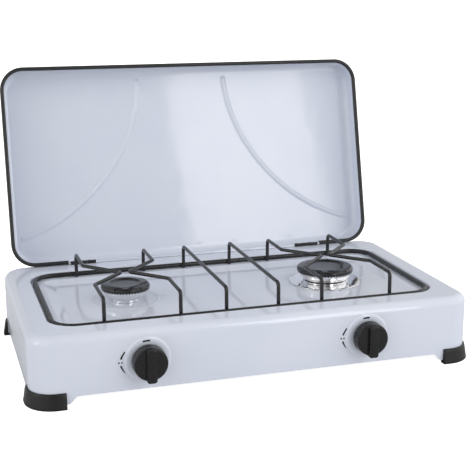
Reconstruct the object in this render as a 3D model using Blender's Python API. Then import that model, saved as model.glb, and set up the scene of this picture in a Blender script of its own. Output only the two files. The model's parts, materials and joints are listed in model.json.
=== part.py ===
"""Two-burner camping gas stove with a folding lid.

Units are metres, +Z is up, +X is to the right of a cook standing in front, and the front faces -Y.
The origin is on the ground at the centre of the whole object's footprint with the lid open.
Heights in this file are above the ground. Depths are measured from the middle of the body, and
BODY_SHIFT moves everything so that the open stove is centred on the origin.
"""

import math

import bmesh
import bpy
from mathutils import Matrix, Vector

# ---------------------------------------------------------------- driving dimensions
FIT_GAP = 0.0003            # clearance between pieces that touch
SHEET = 0.0010              # enamelled steel of the body
LID_SHEET = 0.0008          # enamelled steel of the lid

BODY_WIDTH = 0.520
BODY_DEPTH = 0.293
TOP_Z = 0.080               # top face of the body's rim
SKIRT_Z = 0.0045            # lower edge of the walls inside the feet
FRONT_APRON_Z = 0.0125      # lower edge of the front and rear walls between the feet
SIDE_APRON_Z = 0.0112       # lower edge of the side walls between the feet
CORNER_RADIUS = 0.028
TOP_EDGE_RADIUS = 0.010

FOOT_LENGTH = 0.0375        # along each wall from the outer corner
FOOT_HEIGHT = 0.0180
FOOT_FLARE = 0.0050         # how far the sole stands out from the wall
FOOT_WALL = 0.0020

TRAY_Y = -0.0040            # middle of the tray, of the pan support and of the burners
TRAY_FLOOR_Z = TOP_Z - 0.0098
LEDGE_WIDTH = 0.0150
SLOPE_WIDTH = 0.0140

RING_HALF_X = BODY_WIDTH / 2 - 0.0330   # pan support's perimeter wire, on its centre line
RING_HALF_Y = BODY_DEPTH / 2 - 0.0434
RING_CORNER = 0.0260
RING_WIRE_RADIUS = 0.0028
RING_Z = TOP_Z - 0.0025
RING_SIDE_GAP = 0.0022      # between the perimeter wire and the tray's wall

WIRE_RADIUS = 0.0022        # bent wires that carry the pans
WIRE_TOP_Z = RING_Z + 0.0265    # their centre line where they carry the pan
WIRE_BEND = 0.0050
WIRE_TOP_HALF_Y = RING_HALF_Y - 0.0059  # half the length of the raised part
BRIDGE_X = 0.0313           # the two straight wires
BURNER_SPREAD = 0.0435      # from a burner's axis to the legs of its V wires
V_HALF_Y = 0.0420           # where a V wire leaves its straight line
V_TIP_GAP = 0.0043          # from a burner's axis to the tip of each V

BURNER_X = BODY_WIDTH / 2 - 0.1315
SMALL_CAP_RADIUS = 0.0294
LARGE_CAP_RADIUS = 0.0355
BOWL_TOP_Z = TOP_Z + 0.0048
CAP_SKIRT = 0.0026
THROAT_RADIUS = 0.0110
TRIM_RING_RADIUS = 0.0448   # polished ring on the tray round the large burner

TAP_OFFSET = -0.0052        # from a burner's axis to its tap's axis, along X
TAP_Z = 0.0456
KNOB_RADIUS = 0.0190
KNOB_DEPTH = 0.0094
GRIP_WIDTH = 0.0112
GRIP_TOP = 0.0180           # front of the grip bar, from the knob's back
GRIP_DROP = 0.0215          # lower end of the grip bar, from the axis
PUSH_TRAVEL = 0.0025
COLLAR_RADIUS = 0.0240
COLLAR_HEIGHT = 0.0012
STEM_RADIUS = 0.0030
STEM_CLEARANCE = 0.0004

TAP_RADIUS = 0.0105
TAP_LENGTH = 0.0317
TAP_BORE = 0.0072
TAP_BACK_WALL = 0.0050
TAP_COVER = 0.0015
PLUG_LENGTH = 0.0155
PORT_RADIUS = 0.0018        # gas passages
JET_THREAD = 0.0030
JET_THREAD_LENGTH = 0.0030
SPRING_WIRE = 0.0004
SPRING_TURNS = 4
MANIFOLD_RADIUS = 0.0050
MANIFOLD_WALL = 0.0012
MANIFOLD_END_X = BURNER_X + 0.0215  # blind end, beyond the left tap
SUPPLY_X = BODY_WIDTH / 2 - 0.055   # where the tube turns to the rear
SUPPLY_BEND = 0.016
MIXER_RADIUS = 0.0080
MIXER_WALL = 0.0010
MIXER_BEND = 0.0140
NUT_HEIGHT = 0.0045
NUT_WALL = 0.0040           # from the thread to a corner
NIPPLE_THREAD = 0.0060
NIPPLE_BARB = 0.0054
BRACKET_X = 0.045           # the two manifold brackets

LID_HALF_X = BODY_WIDTH / 2 - 0.0138    # outer face of the lid's side walls
LID_LENGTH = BODY_DEPTH - 0.0370    # outer face of the rear wall to outer face of the front wall
LID_DEPTH = 0.0310
LID_CORNER = 0.0289
LID_EDGE_RADIUS = 0.0100
LID_OPEN_ANGLE = 103.5      # degrees from closed to open
HINGE_Y = BODY_DEPTH / 2 - 0.0128
HINGE_Z = TOP_Z + 0.0024
HINGE_X = BODY_WIDTH / 2 - 0.1035   # middle of each hinge
HINGE_WIDTH = 0.0330
PIN_RADIUS = 0.0011
KNUCKLE_RADIUS = 0.0021
LEAF = 0.0008
TRIM_RADIUS = 0.0019
TRIM_LEG = 0.0024           # how far the trim reaches up the lid's walls
TRIM_END_X = HINGE_X + HINGE_WIDTH / 2 + 0.0030    # where the trim stops on the rear edge
RIVET_SHANK = 0.0012
RIVET_HEAD = 0.0022
RIVET_HEAD_HEIGHT = 0.0006
LID_RIVET_X = 0.0100        # from the middle of a hinge
LID_RIVET_Z = 0.0135        # above the hinge axis with the lid closed
BODY_RIVET_Z = TOP_Z - 0.0270

# ---------------------------------------------------------------- places worked out from them
HALF_X = BODY_WIDTH / 2
HALF_Y = BODY_DEPTH / 2
RECESS_HALF_X = RING_HALF_X + RING_WIRE_RADIUS + RING_SIDE_GAP
RECESS_HALF_Y = RING_HALF_Y + RING_WIRE_RADIUS + RING_SIDE_GAP
RECESS_CORNER = RING_CORNER + RING_WIRE_RADIUS + RING_SIDE_GAP
RECESS_EDGE_RADIUS = 0.0025
LEDGE_Z = RING_Z - RING_WIRE_RADIUS - FIT_GAP
WIRE_FOOT_HALF_Y = RING_HALF_Y - RING_WIRE_RADIUS - WIRE_RADIUS - FIT_GAP
WIRE_FOOT_Z = RING_Z - 0.0022
KNOB_BACK_Y = -HALF_Y - COLLAR_HEIGHT - PUSH_TRAVEL - 0.0007
WALL_INSIDE_Y = -HALF_Y + SHEET
TAP_COVER_Y = WALL_INSIDE_Y + 0.0060
TAP_FRONT_Y = TAP_COVER_Y + TAP_COVER + FIT_GAP
TAP_BACK_Y = TAP_FRONT_Y + TAP_LENGTH
MANIFOLD_Y = TAP_FRONT_Y + 0.0155
MANIFOLD_Z = TAP_Z - TAP_RADIUS - MANIFOLD_RADIUS - FIT_GAP
REAR_INSIDE_Y = HALF_Y - SHEET
BOWL_BASE_Z = TRAY_FLOOR_Z + FIT_GAP
THROAT_BORE = MIXER_RADIUS + FIT_GAP
THROAT_END_Z = TRAY_FLOOR_Z - 0.0071
KNUCKLE_GAP = 0.0004
KNUCKLE_LENGTH = (HINGE_WIDTH - 2 * KNUCKLE_GAP) / 3
KNUCKLE_BORE = PIN_RADIUS + 0.00025
TILT = math.radians(LID_OPEN_ANGLE - 90.0)
LID_BACK_Y = (
    HINGE_Y
    + (LID_LENGTH - LID_EDGE_RADIUS) * math.sin(TILT)
    + (LID_DEPTH - LID_EDGE_RADIUS) * math.cos(TILT)
    + LID_EDGE_RADIUS
)
BODY_SHIFT = -(KNOB_BACK_Y - GRIP_TOP + LID_BACK_Y) / 2

BURNERS = (("left", -BURNER_X), ("right", BURNER_X))
HINGES = (("left", -HINGE_X), ("right", HINGE_X))
BODY_KNUCKLES = (-KNUCKLE_LENGTH - KNUCKLE_GAP, KNUCKLE_LENGTH + KNUCKLE_GAP)
LID_REAR = 0.0001           # from the hinge axis forward to the closed lid's rear wall

CIRCLE = 2 * math.pi
ROUND_STEPS = 24            # facets round a full circle on the larger round pieces
OUTWARD_FRONT = (math.pi / 2, 0.0, 0.0)     # turns a piece's own +Z to -Y
OUTWARD_REAR = (-math.pi / 2, 0.0, 0.0)     # turns a piece's own +Z to +Y


# ---------------------------------------------------------------- scene and materials
def clear_scene():
    for obj in list(bpy.data.objects):
        bpy.data.objects.remove(obj, do_unlink=True)


def make_material(name, colour, roughness, metallic):
    material = bpy.data.materials.new(name)
    material.use_nodes = True
    shader = material.node_tree.nodes["Principled BSDF"]
    shader.inputs["Base Color"].default_value = (*colour, 1.0)
    shader.inputs["Roughness"].default_value = roughness
    shader.inputs["Metallic"].default_value = metallic
    return material


def make_materials():
    return {
        "white_enamel": make_material("white_enamel", (0.74, 0.77, 0.83), 0.12, 0.0),
        "black_enamel": make_material("black_enamel", (0.016, 0.016, 0.017), 0.32, 0.0),
        "cap_enamel": make_material("cap_enamel", (0.020, 0.020, 0.022), 0.28, 0.0),
        "knob_plastic": make_material("knob_plastic", (0.012, 0.012, 0.013), 0.35, 0.0),
        "foot_plastic": make_material("foot_plastic", (0.018, 0.018, 0.019), 0.45, 0.0),
        "trim_rubber": make_material("trim_rubber", (0.014, 0.014, 0.015), 0.40, 0.0),
        "polished_steel": make_material("polished_steel", (0.82, 0.82, 0.83), 0.12, 1.0),
        "plated_steel": make_material("plated_steel", (0.62, 0.62, 0.60), 0.35, 1.0),
        "brass": make_material("brass", (0.75, 0.55, 0.25), 0.30, 1.0),
    }


def add_object(name, mesh, material, smooth=True, place=(0, 0, 0), turn=(0, 0, 0)):
    """Puts a mesh in the scene. place is in the body's own frame, before BODY_SHIFT."""
    obj = bpy.data.objects.new(name, mesh)
    bpy.context.scene.collection.objects.link(obj)
    obj.location = Vector(place) + Vector((0, BODY_SHIFT, 0))
    obj.rotation_euler = turn
    mesh.materials.append(material)
    if smooth:
        mesh.shade_smooth()
        mesh.set_sharp_from_angle(angle=math.radians(35))
    return obj


def add_cutter(name, mesh, place=(0, 0, 0), turn=(0, 0, 0)):
    obj = bpy.data.objects.new(name, mesh)
    bpy.context.scene.collection.objects.link(obj)
    obj.location = Vector(place) + Vector((0, BODY_SHIFT, 0))
    obj.rotation_euler = turn
    obj.hide_render = True
    obj.display_type = "WIRE"
    return obj


def combine(target, tool, operation):
    modifier = target.modifiers.new(tool.name, "BOOLEAN")
    modifier.operation = operation
    modifier.object = tool
    modifier.solver = "EXACT"


def cut(target, *tools):
    for tool in tools:
        combine(target, tool, "DIFFERENCE")


def join(target, *tools):
    for tool in tools:
        combine(target, tool, "UNION")


# ---------------------------------------------------------------- outlines and meshes
def finish_mesh(bm, name):
    bmesh.ops.remove_doubles(bm, verts=bm.verts, dist=1e-6)
    bmesh.ops.recalc_face_normals(bm, faces=bm.faces)
    mesh = bpy.data.meshes.new(name)
    bm.to_mesh(mesh)
    bm.free()
    return mesh


def rounded_rectangle(half_x, half_y, radius, z, middle_y=0.0, steps=6):
    """A closed outline, anticlockwise seen from above, with steps facets in each corner."""
    points = []
    corners = [(1, -1, -90), (1, 1, 0), (-1, 1, 90), (-1, -1, 180)]
    for side_x, side_y, start in corners:
        for step in range(steps + 1):
            angle = math.radians(start + 90 * step / steps)
            x = side_x * (half_x - radius) + radius * math.cos(angle)
            y = middle_y + side_y * (half_y - radius) + radius * math.sin(angle)
            points.append(Vector((x, y, z)))
    return points


def loft(name, loops, close_ring=False):
    """Joins closed outlines with equal numbers of points. The two ends are capped, or the last
    outline is joined to the first when close_ring is set."""
    bm = bmesh.new()
    rows = [[bm.verts.new(point) for point in loop] for loop in loops]
    pairs = list(zip(rows, rows[1:]))
    if close_ring:
        pairs.append((rows[-1], rows[0]))
    else:
        bm.faces.new(rows[0])
        bm.faces.new(rows[-1])
    for low, high in pairs:
        count = len(low)
        for i in range(count):
            j = (i + 1) % count
            bm.faces.new((low[i], low[j], high[j], high[i]))
    return finish_mesh(bm, name)


def turned(name, profile, steps=ROUND_STEPS):
    """Revolves a closed outline of (radius, height) points round Z."""
    bm = bmesh.new()
    rings = []
    for step in range(steps):
        angle = CIRCLE * step / steps
        rings.append([bm.verts.new((r * math.cos(angle), r * math.sin(angle), z)) for r, z in profile])
    count = len(profile)
    for step in range(steps):
        here = rings[step]
        there = rings[(step + 1) % steps]
        for i in range(count):
            j = (i + 1) % count
            on_axis = [profile[k][0] < 1e-9 for k in (i, j)]
            if all(on_axis):
                continue
            if on_axis[0]:
                bm.faces.new((here[i], there[j], here[j]))
            elif on_axis[1]:
                bm.faces.new((here[i], there[i], here[j]))
            else:
                bm.faces.new((here[i], there[i], there[j], here[j]))
    return finish_mesh(bm, name)


def cylinder(name, radius, low, high, steps=ROUND_STEPS):
    return turned(name, [(0, low), (radius, low), (radius, high), (0, high)], steps)


def tube(name, outer, inner, low, high, steps=ROUND_STEPS):
    return turned(name, [(inner, low), (outer, low), (outer, high), (inner, high)], steps)


def box(name, low, high):
    loops = []
    for z in (low[2], high[2]):
        loops.append([
            Vector((low[0], low[1], z)),
            Vector((high[0], low[1], z)),
            Vector((high[0], high[1], z)),
            Vector((low[0], high[1], z)),
        ])
    return loft(name, loops)


def extruded(name, outline, axis, low, high):
    """Extrudes a flat outline along X or Y. Its points are (y, z) along X and (x, z) along Y."""
    loops = []
    for distance in (low, high):
        if axis == "X":
            loops.append([Vector((distance, a, b)) for a, b in outline])
        else:
            loops.append([Vector((a, distance, b)) for a, b in outline])
    return loft(name, loops)


def arc(centre, radius, start, end, steps):
    """Points on an arc in a plane, angles in degrees."""
    points = []
    for step in range(steps + 1):
        angle = math.radians(start + (end - start) * step / steps)
        points.append((centre[0] + radius * math.cos(angle), centre[1] + radius * math.sin(angle)))
    return points


def rounded_path(corners, radius, steps=3, closed=False):
    """A path through corner points with each inner corner replaced by an arc."""
    corners = [Vector(point) for point in corners]
    count = len(corners)
    path = []
    for i, corner in enumerate(corners):
        if not closed and i in (0, count - 1):
            path.append(corner)
            continue
        back = (corners[i - 1] - corner).normalized()
        ahead = (corners[(i + 1) % count] - corner).normalized()
        half = back.angle(ahead) / 2
        reach = radius / math.tan(half)
        centre = corner + (back + ahead).normalized() * radius / math.sin(half)
        start = corner + back * reach - centre
        end = corner + ahead * reach - centre
        sweep = start.angle(end)
        axis = start.cross(end).normalized()
        for step in range(steps + 1):
            path.append(centre + Matrix.Rotation(sweep * step / steps, 3, axis) @ start)
    return path


def path_frames(path, closed=False):
    """A point and two cross directions at each point of a path, turning as little as possible."""
    count = len(path)
    frames = []
    side = None
    for i, point in enumerate(path):
        before = path[i - 1] if closed or i > 0 else point
        after = path[(i + 1) % count] if closed or i < count - 1 else point
        incoming = (point - before).normalized() if point != before else None
        outgoing = (after - point).normalized() if after != point else None
        ahead = ((incoming or outgoing) + (outgoing or incoming)).normalized()
        if side is None:
            guide = Vector((0, 0, 1)) if abs(ahead.z) < 0.9 else Vector((1, 0, 0))
            side = ahead.cross(guide).normalized()
        side = (side - ahead * side.dot(ahead)).normalized()
        frames.append((point, side, side.cross(ahead).normalized()))
    return frames


def circle_loop(frame, radius, sides):
    point, side, up = frame
    loop = []
    for k in range(sides):
        angle = CIRCLE * (k + 0.5) / sides
        loop.append(point + side * radius * math.cos(angle) + up * radius * math.sin(angle))
    return loop


def wire(name, path, radius, sides=8, closed=False):
    loops = [circle_loop(frame, radius, sides) for frame in path_frames(path, closed)]
    return loft(name, loops, close_ring=closed)


def pipe(name, path, radius, wall, sides=12, blind=0.0):
    """A tube along a path. With blind set, its first end is closed by a wall that thick."""
    frames = path_frames(path)
    outer = [circle_loop(frame, radius, sides) for frame in frames]
    inner = [circle_loop(frame, radius - wall, sides) for frame in frames]
    if blind:
        ahead = (path[1] - path[0]).normalized()
        inner[0] = [point + ahead * blind for point in inner[0]]
        return loft(name, outer + inner[::-1])
    return loft(name, outer + inner[::-1], close_ring=True)


# ---------------------------------------------------------------- body
def recess_outline(spread, z):
    """The tray's opening, widened by spread, at height z."""
    corner = max(RECESS_CORNER + spread, 0.006)
    return rounded_rectangle(RECESS_HALF_X + spread, RECESS_HALF_Y + spread, corner, z, TRAY_Y)


def wall_outline(inset, z):
    return rounded_rectangle(HALF_X - inset, HALF_Y - inset, CORNER_RADIUS - inset, z)


def sheet_face(inset):
    """Outlines of one face of the pressed sheet, from the skirt over the rim down into the tray.
    inset is 0 for the outer face and the sheet's thickness for the inner one."""
    loops = [wall_outline(inset, SKIRT_Z)]
    edge_z = TOP_Z - TOP_EDGE_RADIUS
    for degrees in (0.0, 22.5, 45.0, 67.5, 90.0):
        lean = (TOP_EDGE_RADIUS - inset) * (1 - math.cos(math.radians(degrees)))
        rise = (TOP_EDGE_RADIUS - inset) * math.sin(math.radians(degrees))
        loops.append(wall_outline(inset + lean, edge_z + rise))
    for degrees in (90.0, 45.0, 0.0):
        lean = (RECESS_EDGE_RADIUS - inset) * (1 - math.cos(math.radians(degrees)))
        rise = (RECESS_EDGE_RADIUS - inset) * math.sin(math.radians(degrees))
        loops.append(recess_outline(inset + lean, TOP_Z - RECESS_EDGE_RADIUS + rise))
    bend_shift = inset * math.tan(math.atan2(LEDGE_Z - TRAY_FLOOR_Z, SLOPE_WIDTH) / 2)
    loops.append(recess_outline(inset, LEDGE_Z - inset))
    loops.append(recess_outline(bend_shift - LEDGE_WIDTH, LEDGE_Z - inset))
    loops.append(recess_outline(bend_shift - LEDGE_WIDTH - SLOPE_WIDTH, TRAY_FLOOR_Z - inset))
    return loops


def pressed_sheet(name, outer, inner):
    """A closed sheet between two faces: each runs from a free edge to a flat panel."""
    bm = bmesh.new()
    outer_rows = [[bm.verts.new(point) for point in loop] for loop in outer]
    inner_rows = [[bm.verts.new(point) for point in loop] for loop in inner]
    strips = list(zip(outer_rows, outer_rows[1:])) + list(zip(inner_rows, inner_rows[1:]))
    strips.append((outer_rows[0], inner_rows[0]))
    for low, high in strips:
        for i in range(len(low)):
            j = (i + 1) % len(low)
            bm.faces.new((low[i], low[j], high[j], high[i]))
    bm.faces.new(outer_rows[-1])
    bm.faces.new(inner_rows[-1])
    return finish_mesh(bm, name)


def apron_outline(half_length, top_z):
    """The gap under a wall between two feet, with an S-shaped rise at each end."""
    rise_length = 0.010
    points = [(-half_length, SKIRT_Z - 0.005)]
    for step in range(5):
        t = step / 4
        ease = t * t * (3 - 2 * t)
        points.append((-half_length + rise_length * t, SKIRT_Z + (top_z - SKIRT_Z) * ease))
    return points + [(-x, z) for x, z in reversed(points)]


def add_body_shell(materials):
    mesh = pressed_sheet("body_shell", sheet_face(0.0), sheet_face(SHEET))
    shell = add_object("body_shell", mesh, materials["white_enamel"])
    collar_profile = [
        (0, -0.0006),
        (COLLAR_RADIUS, -0.0006),
        (COLLAR_RADIUS, 0),
        (COLLAR_RADIUS - 0.0012, COLLAR_HEIGHT),
        (0, COLLAR_HEIGHT),
    ]
    for side, burner_x in BURNERS:
        front = (burner_x + TAP_OFFSET, -HALF_Y, TAP_Z)
        collar = turned("collar", collar_profile)
        join(shell, add_cutter(f"collar_{side}", collar, front, OUTWARD_FRONT))
        stem_hole = cylinder("stem_hole", STEM_RADIUS + 0.0012, -0.004, 0.004, 16)
        cut(shell, add_cutter(f"stem_hole_{side}", stem_hole, front, OUTWARD_FRONT))
        floor = (burner_x, TRAY_Y, TRAY_FLOOR_Z)
        throat_hole = cylinder("throat_hole", THROAT_RADIUS + 0.0005, -0.004, 0.004)
        cut(shell, add_cutter(f"throat_hole_{side}", throat_hole, floor))
    nipple_hole = cylinder("nipple_hole", NIPPLE_THREAD + 0.0005, -0.004, 0.004)
    nipple_place = (SUPPLY_X, HALF_Y, MANIFOLD_Z)
    cut(shell, add_cutter("nipple_hole", nipple_hole, nipple_place, OUTWARD_REAR))
    front_half = HALF_X - FOOT_LENGTH - 0.0025
    side_half = HALF_Y - FOOT_LENGTH - 0.0025
    front_outline = apron_outline(front_half, FRONT_APRON_Z)
    side_outline = apron_outline(side_half, SIDE_APRON_Z)
    front_apron = extruded("front_apron", front_outline, "Y", -BODY_DEPTH, BODY_DEPTH)
    side_apron = extruded("side_apron", side_outline, "X", -BODY_WIDTH, BODY_WIDTH)
    cut(shell, add_cutter("front_apron", front_apron), add_cutter("side_apron", side_apron))
    for side, hinge_x in HINGES:
        cut_hinge_openings(shell, side, hinge_x)


def cut_hinge_openings(shell, side, hinge_x):
    half_x = KNUCKLE_LENGTH / 2 + 0.0005
    half_y = LEAF / 2 + 0.0005
    for number, shift in enumerate(BODY_KNUCKLES):
        slot = box("slot", (-half_x, -half_y, -0.004), (half_x, half_y, 0.004))
        place = (hinge_x + shift, HINGE_Y, TOP_Z)
        cut(shell, add_cutter(f"hinge_slot_{side}_{number}", slot, place))
    hole = cylinder("rivet_hole", RIVET_SHANK + FIT_GAP, -0.004, 0.004, 12)
    place = (hinge_x, HALF_Y, BODY_RIVET_Z)
    cut(shell, add_cutter(f"body_rivet_hole_{side}", hole, place, OUTWARD_REAR))


def plan_sweep(name, path, section):
    """Sweeps a closed section of (outward offset, height) along a plan path of (point, outward)."""
    loops = []
    for point, outward in path:
        loops.append([point + outward * offset + Vector((0, 0, z)) for offset, z in section])
    return loft(name, loops)


def plan_arc(centre_x, centre_y, radius, start, end, steps=6):
    path = []
    for step in range(steps + 1):
        angle = math.radians(start + (end - start) * step / steps)
        outward = Vector((math.cos(angle), math.sin(angle), 0))
        path.append((Vector((centre_x, centre_y, 0)) + outward * radius, outward))
    return path


def add_feet(materials):
    """Corner shoes: a channel grips the skirt, and the outer wall flares to a wide sole."""
    inside = -SHEET - FIT_GAP
    section = [
        (FOOT_FLARE - 0.0004, 0),
        (FOOT_FLARE, 0.0010),
        (FOOT_WALL, FOOT_HEIGHT - 0.0010),
        (FOOT_WALL - 0.0008, FOOT_HEIGHT),
        (FIT_GAP, FOOT_HEIGHT),
        (FIT_GAP, SKIRT_Z - FIT_GAP),
        (inside, SKIRT_Z - FIT_GAP),
        (inside, FOOT_HEIGHT * 0.7),
        (inside - FOOT_WALL, FOOT_HEIGHT * 0.7),
        (inside - FOOT_WALL - 0.0010, 0),
    ]
    corner_x = HALF_X - CORNER_RADIUS
    corner_y = HALF_Y - CORNER_RADIUS
    path = [(Vector((HALF_X - FOOT_LENGTH, -HALF_Y, 0)), Vector((0, -1, 0)))]
    path += plan_arc(corner_x, -corner_y, CORNER_RADIUS, -90, 0)
    path += [(Vector((HALF_X, -HALF_Y + FOOT_LENGTH, 0)), Vector((1, 0, 0)))]
    for end, side_y in (("front", 1), ("rear", -1)):
        for side, side_x in (("left", -1), ("right", 1)):
            flip = Vector((side_x, side_y, 1))
            mirrored = [(point * flip, outward * flip) for point, outward in path]
            name = f"foot_{end}_{side}"
            add_object(name, plan_sweep(name, mirrored, section), materials["foot_plastic"])


# ---------------------------------------------------------------- burners
def bowl_profile(cap_radius):
    base = cap_radius - 0.0114
    return [
        (THROAT_RADIUS, THROAT_END_Z),
        (THROAT_RADIUS, BOWL_BASE_Z),
        (base, BOWL_BASE_Z),
        (base, BOWL_BASE_Z + 0.0030),
        (cap_radius - 0.0068, BOWL_BASE_Z + 0.0052),
        (cap_radius - 0.0040, BOWL_BASE_Z + 0.0086),
        (cap_radius - 0.0028, BOWL_TOP_Z - 0.0010),
        (cap_radius - 0.0028, BOWL_TOP_Z),
        (cap_radius - 0.0040, BOWL_TOP_Z),
        (cap_radius - 0.0040, BOWL_TOP_Z - 0.0010),
        (cap_radius - 0.0052, BOWL_BASE_Z + 0.0094),
        (cap_radius - 0.0078, BOWL_BASE_Z + 0.0064),
        (base - 0.0012, BOWL_BASE_Z + 0.0044),
        (THROAT_BORE, BOWL_BASE_Z + 0.0034),
        (THROAT_BORE, THROAT_END_Z),
    ]


def cap_profile(cap_radius):
    seat_z = BOWL_TOP_Z + FIT_GAP
    skirt = cap_radius - 0.0056 - FIT_GAP
    return [
        (0, seat_z + 0.0020),
        (skirt - 0.0025, seat_z + 0.0020),
        (skirt - 0.0025, seat_z - CAP_SKIRT),
        (skirt, seat_z - CAP_SKIRT),
        (skirt, seat_z),
        (cap_radius, seat_z),
        (cap_radius, seat_z + 0.0032),
        (cap_radius - 0.0014, seat_z + 0.0054),
        (cap_radius - 0.0110, seat_z + 0.0062),
        (cap_radius - 0.0124, seat_z + 0.0046),
        (0, seat_z + 0.0042),
    ]


def lowered(profile, z):
    return [(radius, height - z) for radius, height in profile]


def add_burner(materials, side, burner_x, cap_radius):
    floor = (burner_x, TRAY_Y, TRAY_FLOOR_Z)
    bowl = turned("bowl", lowered(bowl_profile(cap_radius), TRAY_FLOOR_Z))
    add_object(f"burner_bowl_{side}", bowl, materials["polished_steel"], True, floor)
    cap = turned("cap", lowered(cap_profile(cap_radius), TRAY_FLOOR_Z))
    add_object(f"burner_cap_{side}", cap, materials["cap_enamel"], True, floor)
    nut_top = -SHEET - FIT_GAP
    span = (nut_top - NUT_HEIGHT, nut_top)
    add_nut(f"burner_nut_{side}", THROAT_RADIUS, span, materials["plated_steel"], floor)
    mixer_path = rounded_path(
        [
            (burner_x, TAP_BACK_Y + 0.0075, TAP_Z),
            (burner_x, TRAY_Y, TAP_Z),
            (burner_x, TRAY_Y, THROAT_END_Z + 0.0043),
        ],
        MIXER_BEND,
        5,
    )
    mixer = pipe("mixer", mixer_path, MIXER_RADIUS, MIXER_WALL, 10)
    add_object(f"mixing_tube_{side}", mixer, materials["plated_steel"])


def add_nut(name, thread_radius, span, material, place, turn=(0, 0, 0)):
    """A hexagonal nut on a thread, from span[0] to span[1] along its own Z."""
    low, high = span
    blank = cylinder("nut", thread_radius + NUT_WALL, low, high, 6)
    nut = add_object(name, blank, material, False, place, turn)
    bore = cylinder("nut_bore", thread_radius + FIT_GAP, low - 0.002, high + 0.002)
    cut(nut, add_cutter(f"{name}_bore", bore, place, turn))


def add_trim_ring(materials):
    inner = LARGE_CAP_RADIUS - 0.0114 + 0.0005
    profile = [
        (inner, FIT_GAP),
        (TRIM_RING_RADIUS, FIT_GAP),
        (TRIM_RING_RADIUS, FIT_GAP + 0.0010),
        (TRIM_RING_RADIUS - 0.0020, FIT_GAP + 0.0014),
        (inner + 0.0050, FIT_GAP + 0.0030),
        (inner, FIT_GAP + 0.0030),
    ]
    place = (BURNER_X, TRAY_Y, TRAY_FLOOR_Z)
    add_object("trim_ring_right", turned("ring", profile), materials["polished_steel"], True, place)


# ---------------------------------------------------------------- gas taps and knobs
def add_tap(materials, side, burner_x):
    tap_x = burner_x + TAP_OFFSET
    front = (tap_x, TAP_FRONT_Y, TAP_Z)
    bore_end = TAP_BACK_WALL - TAP_LENGTH
    shell = turned(
        "tap_body",
        [
            (0, -TAP_LENGTH),
            (TAP_RADIUS, -TAP_LENGTH),
            (TAP_RADIUS, 0),
            (TAP_BORE, 0),
            (TAP_BORE, bore_end),
            (0, bore_end),
        ],
        18,
    )
    tap = add_object(f"tap_body_{side}", shell, materials["brass"], True, front, OUTWARD_FRONT)
    inlet_radius = PORT_RADIUS + 0.0017
    inlet = cylinder("inlet", inlet_radius, MANIFOLD_Z + 0.0035, TAP_Z - TAP_RADIUS + 0.0015, 16)
    join(tap, add_cutter(f"tap_inlet_{side}", inlet, (tap_x, MANIFOLD_Y, 0)))
    port = cylinder("port", PORT_RADIUS, MANIFOLD_Z, TAP_Z - TAP_BORE + 0.001, 12)
    cut(tap, add_cutter(f"tap_port_{side}", port, (tap_x, MANIFOLD_Y, 0)))
    rear = (burner_x, TAP_BACK_Y, TAP_Z)
    socket = cylinder("socket", JET_THREAD + FIT_GAP, -JET_THREAD_LENGTH - 0.0005, 0.002, 16)
    cut(tap, add_cutter(f"jet_socket_{side}", socket, rear, OUTWARD_REAR))
    outlet = cylinder("outlet", PORT_RADIUS / 2, -TAP_BACK_WALL - 0.001, 0.001, 12)
    cut(tap, add_cutter(f"tap_outlet_{side}", outlet, rear, OUTWARD_REAR))
    jet = turned(
        "jet",
        [
            (0.0005, -JET_THREAD_LENGTH),
            (JET_THREAD, -JET_THREAD_LENGTH),
            (JET_THREAD, FIT_GAP),
            (0.0045, FIT_GAP),
            (0.0045, 0.0048),
            (0.0024, 0.0056),
            (0.0016, 0.0110),
            (0.0005, 0.0110),
        ],
        12,
    )
    add_object(f"jet_{side}", jet, materials["brass"], True, rear, OUTWARD_REAR)
    stem_bore = STEM_RADIUS + STEM_CLEARANCE
    cover = tube("cover", TAP_RADIUS, stem_bore, FIT_GAP, FIT_GAP + TAP_COVER, 18)
    add_object(f"tap_cover_{side}", cover, materials["plated_steel"], True, front, OUTWARD_FRONT)
    add_moving_tap_pieces(materials, side, front)


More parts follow.
